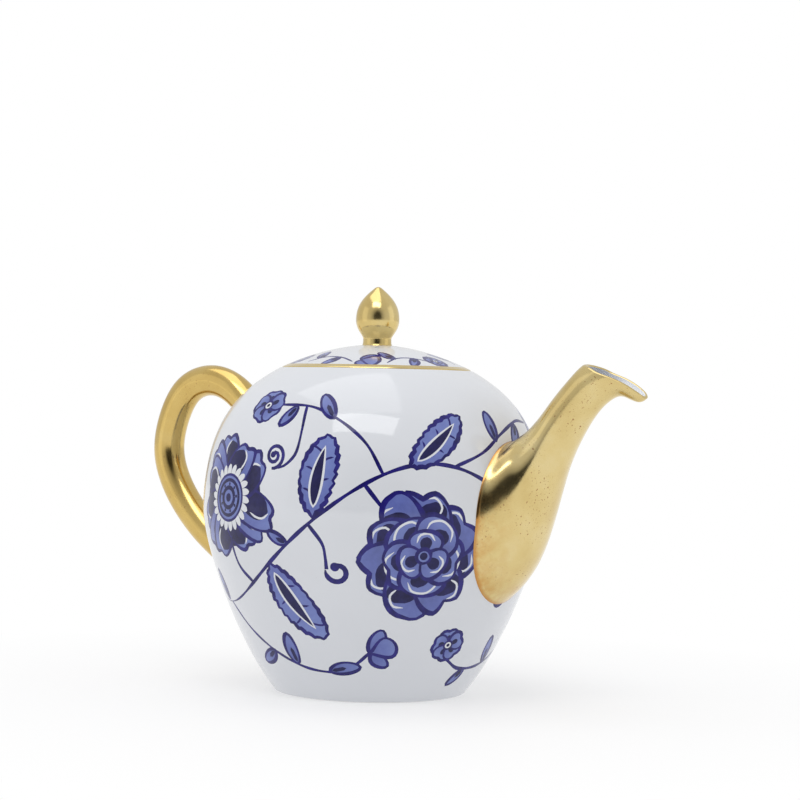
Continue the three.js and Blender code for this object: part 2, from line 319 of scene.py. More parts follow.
def finishes(scene):
    """Every finish by slot, made once."""
    if "white_glaze" in bpy.data.materials:
        names = ("white_glaze", "cobalt_wash", "cobalt_line", "cobalt_core", "gilt_line",
                 "unglazed_foot")
        return [bpy.data.materials[name] for name in names]
    paint, finish = scene.teapot_paint, scene.teapot_finish
    return [
        glaze_material(finish),
        wash_material(paint, finish),
        pigment_material("cobalt_line", paint.line_colour, finish, 1.7),
        pigment_material("cobalt_core", paint.core_colour, finish, 1.5),
        gold_material("gilt_line", finish, 0.3),
        biscuit_material(),
    ]


# ---- outlines ------------------------------------------------------------------------------------
def bezier(p0, p1, p2, p3, steps):
    t = np.linspace(0, 1, steps + 1)[:, None]
    p0, p1, p2, p3 = (np.array(p, float) for p in (p0, p1, p2, p3))
    return ((1 - t) ** 3 * p0 + 3 * (1 - t) ** 2 * t * p1 + 3 * (1 - t) * t ** 2 * p2
            + t ** 3 * p3)


def spline(points, steps):
    """A smooth line through the points, at equal steps of its index, like a bent spring."""
    points = np.array(points, float)
    ends = [2 * points[0] - points[1], 2 * points[-1] - points[-2]]
    padded = np.vstack([ends[0], points, ends[1]])
    t = np.linspace(0, len(points) - 1, steps + 1)
    i = np.minimum(t.astype(int), len(points) - 2)
    f = (t - i)[:, None]
    a, b, c, d = (padded[i + k] for k in range(4))
    return 0.5 * (2 * b + (c - a) * f + (2 * a - 5 * b + 4 * c - d) * f ** 2
                  + (3 * b - a - 3 * c + d) * f ** 3)


class Outline:
    """A turned surface's outline from the bottom up: radius, height and outward normal."""

    def __init__(self, points):
        self.r, self.z = points[:, 0], points[:, 1]
        steps = np.hypot(np.diff(self.r), np.diff(self.z))
        self.s = np.r_[0, np.cumsum(steps)]
        slope_r, slope_z = np.gradient(self.r, self.s), np.gradient(self.z, self.s)
        size = np.hypot(slope_r, slope_z)
        self.nr, self.nz = slope_z / size, -slope_r / size

    def along(self, z):
        return float(np.interp(z, self.z, self.s))

    def radius(self, s):
        return np.interp(s, self.s, self.r)

    def place(self, turn, s, sunk=0.0):
        """Point and outward normal at a bearing in radians, `sunk` below the surface."""
        nr, nz = np.interp(s, self.s, self.nr), np.interp(s, self.s, self.nz)
        r = np.interp(s, self.s, self.r) - nr * sunk
        z = np.interp(s, self.s, self.z) - nz * sunk
        point = np.stack([r * np.cos(turn), r * np.sin(turn), z], -1)
        normal = np.stack([nr * np.cos(turn), nr * np.sin(turn), nz + 0 * turn], -1)
        return point, normal

    def edge(self, s, sunk=0.0):
        """Radius and height at an arc length, `sunk` below the surface."""
        point, _ = self.place(np.array([0.0]), np.array([s]), sunk)
        return point[0][0], point[0][2]


def body_outline():
    swell = (BODY_RADIUS - FOOT_RADIUS) / 2
    rise = MOUTH_Z - BELLY_Z
    low = bezier((FOOT_RADIUS, 0), (FOOT_RADIUS + swell * 1.03, BELLY_Z * 0.252),
                 (BODY_RADIUS, BELLY_Z * 0.821), (BODY_RADIUS, BELLY_Z), 240)
    high = bezier((BODY_RADIUS, BELLY_Z), (BODY_RADIUS, BELLY_Z + rise * 0.61),
                  (MOUTH_RADIUS + (BODY_RADIUS - MOUTH_RADIUS) * 0.562, MOUTH_Z - rise * 0.164),
                  (MOUTH_RADIUS, MOUTH_Z), 240)
    return Outline(np.vstack([low, high[1:]]))


def lid_outline():
    rise = CROWN_Z - MOUTH_Z
    curve = bezier((LID_RADIUS, MOUTH_Z + 0.2), (LID_RADIUS * 0.75, MOUTH_Z + rise * 0.49),
                   (LID_RADIUS * 0.39, CROWN_Z), (0, CROWN_Z), 240)
    return Outline(curve)


BODY = body_outline()
LOW_EDGE, HIGH_EDGE = BODY.along(1.2), BODY.s[-1] - 0.5
LID = lid_outline()


# ---- painting ------------------------------------------------------------------------------------
class Sheet:
    """The flat sheet the body's skin is cut from: bearing round the pot, arc length up it."""

    def to_flat(self, turn, s):
        return turn * BODY_RADIUS, s

    def lay(self, bearing, height):
        """A function that carries a motif's own (x, y) onto the pot at a bearing and height."""
        turn, base = math.radians(bearing), BODY.along(height)

        def carry(x, y):
            s = np.clip(base + y, LOW_EDGE, HIGH_EDGE)
            return self.to_flat(turn + x / BODY.radius(s), s)
        return carry

    def true_scale(self, flat):
        return BODY.radius(flat[:, 1]) / BODY_RADIUS


class Disc:
    """The flat disc the lid's top is cut from, seen straight down."""

    def lay(self, bearing, reach):
        turn = math.radians(bearing)

        def carry(x, y):
            r = reach - y
            return (r * math.cos(turn) - x * math.sin(turn),
                    r * math.sin(turn) + x * math.cos(turn))
        return carry

    def true_scale(self, flat):
        return np.ones(len(flat))


class Brush:
    """Painted shapes in the order they are laid on, each covering what is under it."""

    def __init__(self, ground, paint):
        self.ground = ground
        self.shapes = []
        self.outline_width = paint.outline_width / MM
        self.line_width = paint.line_width / MM

    def add(self, finish, flat, light=(0.5, 0.5), axis=None):
        flat = [tuple(p) for p in flat]
        if axis is None:
            axis = (flat[0], flat[len(flat) // 2])
        self.shapes.append((finish, flat, light, axis))

    def band(self, finish, flat, widths, light=(0.5, 0.5), closed=False):
        """A brush stroke along a line on the flat sheet."""
        flat = np.array(flat, float)
        if closed:
            before, after = np.roll(flat, 1, 0), np.roll(flat, -1, 0)
            run = after - before
        else:
            run = np.gradient(flat, axis=0)
        scale = self.ground.true_scale(flat)
        across = np.stack([-run[:, 1], run[:, 0] * scale], -1)
        across /= np.maximum(np.linalg.norm(across, axis=1), 1e-9)[:, None]
        half = np.broadcast_to(np.array(widths, float) / 2, (len(flat),))[:, None]
        shift = across * half
        shift[:, 0] /= scale
        left, right = flat + shift, flat - shift
        axis = (tuple(flat[0]), tuple(flat[len(flat) // 2 if closed else -1]))
        if closed:
            left, right = np.vstack([left, left[:1]]), np.vstack([right, right[:1]])
        self.add(finish, np.vstack([left, right[::-1]]), light, axis)


class Motif:
    """One flower, leaf or curl, drawn in its own millimetres and laid on the pot."""

    def __init__(self, brush, bearing, height, tilt=0.0, size=1.0):
        self.brush = brush
        self.carry = brush.ground.lay(bearing, height)
        self.turn = (math.cos(math.radians(tilt)), math.sin(math.radians(tilt)))
        self.size = size

    def flat(self, points):
        c, s = self.turn
        out = []
        for x, y in points:
            x, y = x * self.size, y * self.size
            out.append(self.carry(x * c - y * s, x * s + y * c))
        return out

    def fill(self, finish, points, light=(0.5, 0.5), axis=None):
        self.brush.add(finish, self.flat(points), light,
                       self.flat(axis) if axis is not None else None)

    def edge(self, points, width=None, finish=LINE):
        points = evened(points, 1.3 / self.size, closed=True)
        width = self.brush.outline_width if width is None else width
        swell = 1 + 0.28 * np.sin(np.arange(len(points)) * 0.37 + len(points))
        self.brush.band(finish, self.flat(points), width * swell, closed=True)

    def stroke(self, points, width=None, finish=LINE, taper=(0.5, 0.5), step=1.2):
        width = self.brush.line_width if width is None else width
        points = evened(spline(points, 12 * (len(points) - 1)), step / self.size)
        t = np.linspace(0, 1, len(points))
        shape = np.minimum(1, np.minimum(taper[0] + t * 5, taper[1] + (1 - t) * 5))
        self.brush.band(finish, self.flat(points), width * shape)

    def petal(self, outline, core=None, gleam=None, light=(0.25, 0.95), width=None, axis=None):
        """A washed shape with a dark outline, and inside it a dark core with a white gleam."""
        self.fill(WASH, outline, light, axis)
        if core is not None:
            self.fill(CORE, core)
        if gleam is not None:
            self.stroke(gleam, 0.9 * self.size ** 0.5, GLAZE, (0.2, 0.2))
        self.edge(outline, width)


def evened(points, step, closed=False):
    """The same line with points at even steps along it."""
    points = np.array(points, float)
    if closed:
        points = np.vstack([points, points[:1]])
    run = np.r_[0, np.cumsum(np.linalg.norm(np.diff(points, axis=0), axis=1))]
    count = max(3, int(round(run[-1] / step)))
    at = np.linspace(0, run[-1], count + 1)
    if closed:
        at = at[:-1]
    return np.stack([np.interp(at, run, points[:, k]) for k in (0, 1)], -1)


def blade(length, width, fullest=0.5, lean=0.0, steps=18, tip=0.55):
    """A pointed petal or leaf from its base at the origin up to its tip."""
    t = np.linspace(0, 1, steps + 1)
    power = math.log(0.5) / math.log(fullest)
    half = width / 2 * np.sin(math.pi * t ** power) ** tip
    half[0] = half[-1] = 0
    middle = lean * length * t ** 2
    left = np.stack([middle - half, t * length], -1)
    right = np.stack([middle + half, t * length], -1)[-2:0:-1]
    return np.vstack([left, right])


def lobed(length, width, notch=0.16, base=0.25, steps=26, lean=0.0):
    """A broad petal whose far edge dips once in the middle."""
    a = np.linspace(-math.pi, math.pi, steps, endpoint=False)
    reach = length * (0.5 + 0.5 * np.cos(a)) ** 0.42
    reach *= 1 - notch * np.exp(-(a / 0.30) ** 2)
    reach = np.maximum(reach, length * 0.02)
    x = width * 0.62 * np.sin(a) * (0.5 + 0.5 * np.cos(a)) ** 0.30 * (1 + base)
    y = reach * (0.42 + 0.58 * np.cos(a / 1.25))
    return np.stack([x + lean * y * y / length, y], -1)


def coil(start, end, turns, begin=0.0, steps=40, squash=1.0):
    """A spiral line from radius `start` to radius `end`."""
    t = np.linspace(0, 1, steps + 1)
    a = math.radians(begin) + t * turns * 2 * math.pi
    r = start + (end - start) * t
    return np.stack([r * np.cos(a), r * np.sin(a) * squash], -1)


def ring(radius, steps=48, squash=1.0):
    a = np.linspace(0, 2 * math.pi, steps, endpoint=False)
    return np.stack([radius * np.cos(a), radius * squash * np.sin(a)], -1)


def moved(points, x=0.0, y=0.0, tilt=0.0, scale=1.0):
    c, s = math.cos(math.radians(tilt)), math.sin(math.radians(tilt))
    points = np.array(points, float) * scale
    return np.stack([points[:, 0] * c - points[:, 1] * s + x,
                     points[:, 0] * s + points[:, 1] * c + y], -1)


def ragged(outline, tint_and_shade, pitch=2.6):
    """The same closed outline with small teeth."""
    outline = evened(outline, pitch / 4, closed=True)
    run = np.roll(outline, -1, 0) - np.roll(outline, 1, 0)
    run /= np.linalg.norm(run, axis=1)[:, None]
    tooth = (np.arange(len(outline)) % 4) / 3 - 0.4
    return outline + np.stack([run[:, 1], -run[:, 0]], -1) * (tooth * tint_and_shade)[:, None]


# ---- motifs: stock shapes of blue-and-white vine painting ----------------------------------------
def rosette(m, petals=11, reach=30.5):
    """An open flower: swirled petals, a white fringe and a ringed eye."""
    m.fill(CORE, ring(reach * 0.74))
    for i in range(petals):
        tilt = i * 360 / petals + 10 * math.sin(i * 2.1)
        long = reach * (1 + 0.09 * math.sin(i * 1.7 + 0.6))
        side = 1 if i % 3 else -1
        outline = moved(lobed(long, 13.0, 0.12, lean=0.14 * side), tilt=tilt)
        core = moved(blade(long * 0.84, 12.4, 0.72, 0.10 * side), -1.9 * side *
                     math.cos(math.radians(tilt)), -1.9 * side * math.sin(math.radians(tilt)),
                     tilt)
        gleam = moved([(3.2 * side, long * 0.52), (4.6 * side, long * 0.64),
                       (4.4 * side, long * 0.76), (1.6 * side, long * 0.85)], tilt=tilt)
        m.petal(outline, core, gleam, (0.15, 0.8),
                axis=moved([(0, 10), (0, long)], tilt=tilt))
    m.fill(CORE, ring(13.6))
    for i in range(22):
        tilt = i * 360 / 22
        m.fill(GLAZE, moved(blade(8.0, 3.3, 0.6, 0.12, tip=0.5, steps=12), tilt=tilt)
               + moved([(0, 7.6)], tilt=tilt))
    m.fill(LINE, ring(11.2))
    m.fill(WASH, ring(10.0), (0.75, 0.4))
    for radius, width in ((8.1, 1.3), (4.6, 1.6)):
        m.stroke(coil(radius, radius, 1.0), width, CORE, (1, 1))
    for i in range(9):
        m.fill(CORE, moved(ring(0.75, 10), *moved([(6.3, 0)], tilt=i * 40)[0]))
    m.fill(CORE, ring(2.0, 18))


def peony(m):
    """A full flower: three rings of petals round a closed heart."""
    outer = ((-112, 27, 20), (-66, 27, 21), (-22, 29, 21), (18, 30, 16), (52, 28, 22),
             (96, 28, 22), (142, 29, 20), (196, 28, 20))
    m.fill(CORE, ring(20.5))
    for i, (tilt, long, wide) in enumerate(outer):
        side = 1 if i % 2 else -1
        outline = moved(lobed(long, wide * 0.86, 0.17 if i % 3 else 0.03, lean=0.12 * side),
                        tilt=tilt)
        core = moved(blade(long * 0.80, 13.2, 0.76, -0.14 * side), tilt=tilt)
        gleam = moved([(-4.6 * side, long * 0.58), (-6.2 * side, long * 0.72),
                       (-3.1 * side, long * 0.85), (1.4 * side, long * 0.83)], tilt=tilt)
        m.petal(outline, core, gleam, (0.05, 0.5), 1.7,
                axis=moved([(0, 8), (0, long)], tilt=tilt))
    for i in range(5):
        tilt = i * 72 + 18
        outline = moved(lobed(18.0, 16.0, 0.14 if i % 2 else 0.0, lean=-0.08), tilt=tilt)
        core = moved(blade(14, 8.2, 0.74, 0.1), tilt=tilt)
        gleam = moved([(-6.2, 9.6), (-6.2, 13.4), (-2.0, 16.6), (3.8, 15.6), (6.0, 11.4)],
                      tilt=tilt)
        m.petal(outline, core, gleam, (0.05, 0.7), 1.4,
                axis=moved([(0, 4), (0, 17)], tilt=tilt))
    for i in range(3):
        tilt = i * 120 - 25
        outline = moved(lobed(11.0, 11.5, 0.0), tilt=tilt)
        m.petal(outline, moved(blade(8.4, 5.2, 0.7), tilt=tilt),
                moved([(-4.0, 5.4), (-3.1, 8.8), (1.0, 9.8), (3.8, 7.0)], tilt=tilt),
                (0.2, 0.8), 1.3)
    m.petal(ring(3.2, 20), ring(1.7, 14))


def saw_leaf(m, length=34.0, width=15.0, lean=0.06):
    """A broad saw-edged leaf with a dark heart edged in white."""
    outline = ragged(blade(length, width, 0.52, lean), 0.9, 3.4)
    m.fill(WASH, outline, (0.4, 0.85), [(0, 0), (0, length)])
    for k in range(1, 6):
        y, side = length * (0.12 + 0.13 * k), (-1) ** k
        x = lean * y * y / length
        m.stroke([(x, y), (x + side * width * 0.20, y + length * 0.06),
                  (x + side * width * 0.36, y + length * 0.08)], 0.8, LINE, (0.6, 0.1))
    m.fill(GLAZE, moved(blade(length * 0.76, width * 0.40, 0.42, lean, tip=0.8), 0.1,
                        length * 0.10))
    m.fill(CORE, moved(blade(length * 0.69, width * 0.27, 0.42, lean, tip=0.8), 0.1,
                       length * 0.13))
    m.edge(outline, 1.45)


def blossom(m, reach=7.6):
    """A small five-petalled flower with a dark eye."""
    for i in range(5):
        m.petal(moved(lobed(reach, reach * 0.86, 0.14), tilt=i * 72 + 10),
                moved(blade(reach * 0.62, reach * 0.30, 0.7), tilt=i * 72 + 10),
                light=(0.15, 0.8), width=1.1)
    m.fill(LINE, ring(reach * 0.30, 20))
    m.fill(GLAZE, ring(reach * 0.19, 16))
    m.fill(CORE, ring(reach * 0.10, 12))


def bud(m, long=11.5):
    """A three-lobed bud on a stalk."""
    m.petal(moved(blade(long * 0.78, 5.2, 0.5, -0.2), -0.4, -1.4, 82), light=(0.2, 0.7))
    m.petal(moved(blade(long * 1.06, 5.8, 0.5, -0.08), 0.2, -1, 202), light=(0.2, 0.7))
    m.petal(moved(blade(long, 8.6, 0.66, tip=0.6), 0, -1, 164), light=(0.2, 0.8))


def curl(m, radius=6.0, turns=0.8, begin=-60, head=2.0, width=2.3):
    """A hooked tendril ending in a round head."""
    line = coil(radius, radius * 0.45, turns, begin, 26)
    m.stroke(line, width, LINE, (0.25, 1))
    m.fill(LINE, moved(ring(head, 18), *line[-1]))


def spiral(m):
    """A wiry spiral tendril with a round heart."""
    line = coil(6.0, 1.0, 1.7, -20, 60, 0.92)
    m.stroke(line, 1.4, LINE, (0.7, 1))
    m.fill(LINE, moved(ring(1.5, 16), *line[-1]))


def small_leaf(m, length=15.0, width=7.0, lean=0.2):
    outline = blade(length, width, 0.5, lean)
    m.petal(outline, light=(0.2, 0.7))
    m.stroke([(0, 1), (lean * length * 0.35, length * 0.55)], 1.6, CORE, (0.3, 0))


def stem(brush, points, weight=1.0, taper=(0.8, 0.8), shift=0.0):
    """A vine line through bearings and heights on the body; weight scales its width."""
    points = np.array(points, float)
    s = np.array([BODY.along(z) for z in points[:, 1]])
    turn = np.radians(points[:, 0] + shift)
    flat = np.stack(brush.ground.to_flat(turn, s), -1)
    flat = evened(spline(flat, 14 * (len(flat) - 1)), 1.4)
    width = brush.line_width * weight
    t = np.linspace(0, 1, len(flat))
    shape = np.minimum(1, np.minimum(taper[0] + t * 6, taper[1] + (1 - t) * 6))
    shape = shape * (1 + 0.16 * np.sin(np.arange(len(flat)) * 0.55))
    brush.band(LINE, flat, width * shape)


def climb(bearing):
    """Height of the main stem: one even wave over half the pot."""
    return 62 + 27 * math.sin(math.radians(2 * (bearing + 83)))


# weights of the scroll's stems, against the set line width
STOUT, MIDDLING, FINE = 1.22, 1.04, 0.96


def vine(brush, shift):
    """One side of the pot: a scroll with a flower in each bend and leaves along it."""
    def m(bearing, height, tilt=0.0, size=1.0):
        return Motif(brush, bearing + shift, height, tilt, size)

    def line(points, weight, taper=(0.8, 0.8)):
        stem(brush, points, weight, taper, shift)

    line([(b, climb(b)) for b in range(-134, 31, 6)]
         + [(36, 33), (31, 23), (19, 16.5), (4, 13), (-11, 13), (-21, 17)], STOUT, (0.15, 0.8))
    line([(-104, climb(-104)), (-110, 50), (-112, 60)], STOUT)
    line([(-60, climb(-60)), (-54, 73), (-47, 63)], STOUT)
    line([(-54, climb(-54)), (-60, 96), (-70, 104), (-82, 108.5), (-97, 109)], MIDDLING)
    line([(-30, climb(-30)), (-18, 93), (-6, 100), (8, 104.5), (20, 104)], MIDDLING)
    line([(-126, climb(-126)), (-116, 25.5), (-103, 18), (-88, 13), (-73, 12), (-64, 15),
          (-57.6, 19.6)], MIDDLING, (0.8, 1))
    line([(-78, climb(-78)), (-73.5, 60), (-72.6, 55), (-72.4, 50.6)], 1.13, (0.8, 1))
    line([(2, climb(2)), (6, 56), (6, 47), (1, 42)], FINE)

    rosette(m(-112, 74.5, 8, 0.80))
    peony(m(-40, 56, 20, 0.86))
    saw_leaf(m(-76.5, 69.5, -2), 30, 13.5, 0.10)
    saw_leaf(m(-94, climb(-94) - 0.5, -157), 33, 14.5, -0.12)
    saw_leaf(m(-45, climb(-45), -52), 28, 12.0, -0.10)
    saw_leaf(m(20, climb(20), 4), 32, 14.0, 0.08)
    blossom(m(-103, 108.5))
    blossom(m(-22.5, 22.5), 7.0)
    bud(m(20.8, 103.8, 100), 10.5)
    bud(m(-57.8, 19.2, 128), 10.0)
    curl(m(-68.6, 49.8), 4.6, 0.85, 172, 1.7, 2.0)
    curl(m(-1.5, 39.5), 4.2, -0.85, 40, 1.6, 1.9)
    spiral(m(-92, 90.6, -78, 0.8))
    line([(-84, 108.8), (-83.2, 100), (-83.8, 92), (-87, 87.6), (-90, 86.2)], FINE)
    for bearing, height, tilt, long in (
            (-72, 104.6, 35, 12), (-88, 108.6, 155, 10), (-10, 97.5, 10, 12),
            (6, 103.6, 150, 11), (-104, 18.6, 130, 11), (-92, 14.2, 15, 13),
            (-76, 12.2, -70, 12), (30, 22.5, 40, 12), (10, 14.2, 25, 12),
            (-6, 12.6, 150, 9), (-128, 36, 25, 12), (-86, climb(-86), 70, 9)):
        small_leaf(m(bearing, height, tilt), long, long * 0.42, 0.12)


def lid_vine(brush):
    """Six small sprigs in a ring round the lid."""
    for i in range(6):
        bearing = 60 * i - 30
        Motif(brush, bearing, 28.5).stroke([(-11, -1.6), (-5, 1.4), (2, 1.0), (9, -1.8)], 0.9)
        small_leaf(Motif(brush, bearing - 14, 28.5, 40), 8.5, 3.6, 0.2)
        small_leaf(Motif(brush, bearing + 3, 27.5, 160), 7.5, 3.4, 0.2)
        if i % 2:
            bud(Motif(brush, bearing + 20, 30.0, 105), 7.0)
        else:
            blossom(Motif(brush, bearing + 21, 29.5), 4.6)


# ---- cutting and joining -------------------------------------------------------------------------
def within(points, outline):
    """Which points lie inside a closed outline, by how often it winds round them."""
    start, end = outline, np.roll(outline, -1, 0)
    x, y = points[:, :1], points[:, 1:]
    side = (end[:, 0] - start[:, 0]) * (y - start[:, 1]) - (x - start[:, 0]) * (
        end[:, 1] - start[:, 1])
    up = (start[:, 1] <= y) & (end[:, 1] > y) & (side > 0)
    down = (start[:, 1] > y) & (end[:, 1] <= y) & (side < 0)
    return up.sum(1) != down.sum(1)


def cut_flat(plain, border, shapes, openings=()):
    """Cuts a flat sheet along every shape. Returns points, triangles and each one's top shape.

    plain: loose points that keep the triangles small. border and openings: closed outlines.
    """
    points, edges = list(plain), []
    for outline in [border, *openings, *[shape[1] for shape in shapes]]:
        start, count = len(points), len(outline)
        points += outline
        edges += [(start + k, start + (k + 1) % count) for k in range(count)]
    out = delaunay_2d_cdt([Vector((float(x), float(y))) for x, y in points], edges, [], 0,
                          1e-5, False)
    flat, triangles = np.array([tuple(p) for p in out[0]]), np.array(out[2])
    centres = flat[triangles].mean(axis=1)
    kept = np.ones(len(triangles), bool)
    for opening in openings:
        kept &= ~within(centres, np.array(opening))
    triangles, centres = triangles[kept], centres[kept]
    order = np.argsort(centres[:, 0])
    ordered = centres[order, 0]
    top = np.full(len(triangles), -1)
    if not len(triangles):
        raise RuntimeError("the sheet's border and shapes left nothing to cut")
    for index, shape in enumerate(shapes):
        outline = np.array(shape[1], float)
        (x0, y0), (x1, y1) = outline.min(axis=0), outline.max(axis=0)
        near = order[np.searchsorted(ordered, x0):np.searchsorted(ordered, x1)]
        near = near[(centres[near, 1] >= y0) & (centres[near, 1] <= y1)]
        top[near[within(centres[near], outline)]] = index
    return flat, triangles.tolist(), top.tolist()


def mesh_piece(name, points, faces, slots, tones, normals, materials, body, replaced):
    """A finished piece from its points in millimetres, riding on a body of the frame."""
    mesh = bpy.data.meshes.new(name)
    mesh.from_pydata([tuple(p) for p in np.array(points) * MM], [], faces)
    for material in materials:
        mesh.materials.append(material)
    mesh.polygons.foreach_set("material_index", slots)
    mesh.polygons.foreach_set("use_smooth", [True] * len(faces))
    layer = mesh.attributes.new("tone", "FLOAT", "CORNER")
    layer.data.foreach_set("value", tones)
    mesh.normals_split_custom_set(normals)
    mesh.validate(clean_customdata=False)
    piece = bpy.data.objects.new(name, mesh)
    bpy.context.scene.collection.objects.link(piece)
    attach(piece, body)
    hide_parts(*replaced)
    return piece


class Build:
    """Gathers the patches of one piece, each with its own points, normals and finish."""

    def __init__(self):
        self.points, self.faces, self.slots = [], [], []
        self.tones, self.normals = [], []

    def patch(self, points, normals, faces, slots, tones=None):
        """tones: one value per face corner, or None for plain patches."""
        start = len(self.points)
        self.points += [tuple(p) for p in points]
        for i, face in enumerate(faces):
            self.faces.append([start + k for k in face])
            self.slots.append(slots if isinstance(slots, int) else slots[i])
            self.normals += [tuple(normals[k]) for k in face]
            self.tones += tones[i] if tones is not None else [0.0] * len(face)

    def grid(self, points, normals, slot, tone=None, close=False, flip=False):
        """points and normals: rows x columns x 3. close joins the last column to the first."""
        rows, columns = points.shape[:2]
        faces, tones = [], []
        for i in range(rows - 1):
            for k in range(columns if close else columns - 1):
                n = (k + 1) % columns
                face = [i * columns + k, i * columns + n, (i + 1) * columns + n,
                        (i + 1) * columns + k]
                if flip:
                    face.reverse()
                faces.append(face)
                if tone is not None:
                    tones.append([float(tone[f // columns, f % columns]) for f in face])
        self.patch(points.reshape(-1, 3), normals.reshape(-1, 3), faces, slot,
                   tones if tone is not None else None)

    def turned(self, outline, slot, columns=ROUND, start=0.0, facing=1):
        """A smooth patch turned from an outline that runs with its outside on the right."""
        outline = np.array(outline, float)
        run = np.gradient(outline, axis=0)
        size = np.maximum(np.hypot(run[:, 0], run[:, 1]), 1e-9)
        nr, nz = run[:, 1] / size, -run[:, 0] / size
        a = start + np.linspace(0, 2 * math.pi, columns, endpoint=False)
        c, s = np.cos(a), np.sin(a)
        points = np.stack([np.outer(outline[:, 0], c), np.outer(outline[:, 0], s),
                           np.outer(outline[:, 1], np.ones(columns))], -1)
        normals = np.stack([np.outer(nr, c), np.outer(nr, s),
                            np.outer(nz, np.ones(columns))], -1) * facing
        self.grid(points, normals, slot, close=True, flip=facing < 0)

    def piece(self, name, materials, body, replaced, slot_name):
        if not self.faces:
            raise RuntimeError(f"{name} has no faces")
        points, faces, slots, tones, normals = weld(self.points, self.faces, self.slots,
                                                    self.normals, self.tones)
        return mesh_piece(name, points, faces, slots, tones, normals, materials, body,
                          replaced)


def weld(points, faces, slots, normals, tones, reach=0.002):
    """Joins points that lie together, so that patches meet in one closed skin."""
    keys, index, kept = {}, [], []
    for p in points:
        key = tuple(int(round(c / reach)) for c in p)
        if key not in keys:
            keys[key] = len(kept)
            kept.append(p)
        index.append(keys[key])
    new_faces, new_slots, new_normals, new_tones = [], [], [], []
    corner = 0
    for face, slot in zip(faces, slots):
        ids, picks = [], []
        for n, k in enumerate(face):
            if index[k] not in ids:
                ids.append(index[k])
                picks.append(corner + n)
        corner += len(face)
        if len(ids) > 2:
            new_faces.append(ids)
            new_slots.append(slot)
            new_normals += [normals[p] for p in picks]
            new_tones += [tones[p] for p in picks]
    return kept, new_faces, new_slots, new_tones, new_normals


def tone_at(flat, shape):
    """How light a washed shape is at a point of the flat sheet."""
    (ax, ay), (bx, by) = shape[3]
    dx, dy = bx - ax, by - ay
    share = ((flat[0] - ax) * dx + (flat[1] - ay) * dy) / max(dx * dx + dy * dy, 1e-6)
    low, high = shape[2]
    return low + (high - low) * min(1.0, max(0.0, share))


def painted(flat, triangles, top, shapes):
    """Finish and corner tones of each triangle."""
    slots, tones = [], []
    for triangle, best in zip(triangles, top):
        slot = GLAZE if best < 0 else shapes[best][0]
        slots.append(slot)
        tones.append([tone_at(flat[k], shapes[best]) for k in triangle] if slot == WASH
                     else [0.0] * 3)
    return slots, tones


def oval(half_width, half_height, x=0.0, y=0.0, steps=64):
    a = np.linspace(0, 2 * math.pi, steps, endpoint=False)
    return [(x + half_width * math.cos(k), y + half_height * math.sin(k)) for k in a]


def strainer_holes():
    """Centres of the pierced holes, across and up from the strainer's middle."""
    row_pitch = HOLE_PITCH * math.sqrt(3) / 2
    centres = []
    for row in range(-2, 3):
        count = 3 if row % 2 == 0 else 2
        centres += [((k - (count - 1) / 2) * HOLE_PITCH, row * row_pitch)
                    for k in range(count)]
    return centres


STRAINER_S = BODY.along(MOUTH_Z * 0.536)


def loop_wall(build, loop, depth_out, depth_in, facing, slot):
    """The edge of a cut through the wall, from the outer skin to the inner one."""
    flat = np.array(loop)
    turn, s = flat[:, 0] / BODY_RADIUS, flat[:, 1]
    outer, _ = BODY.place(turn, s, depth_out)
    inner, _ = BODY.place(turn, s, depth_in)
    normal = outer - outer.mean(axis=0)
    normal /= np.linalg.norm(normal, axis=1)[:, None]
    points = np.stack([outer, inner])
    build.grid(points, np.stack([normal, normal]) * facing, slot, close=True,
               flip=facing > 0)


def skin_points(low, high, columns):
    """Loose points in even rows for the body's sheet, with plain straight side edges."""
    rows = max(2, int((high - low) / ROW))
    seam = math.radians(SEAM_TURN) * BODY_RADIUS
    width = 2 * math.pi * BODY_RADIUS
    heights = np.linspace(low, high, rows + 1)
    return [(seam + width * k / columns, v) for v in heights for k in range(columns + 1)], (
        [(seam, low), (seam + width, low), (seam + width, high), (seam, high)])


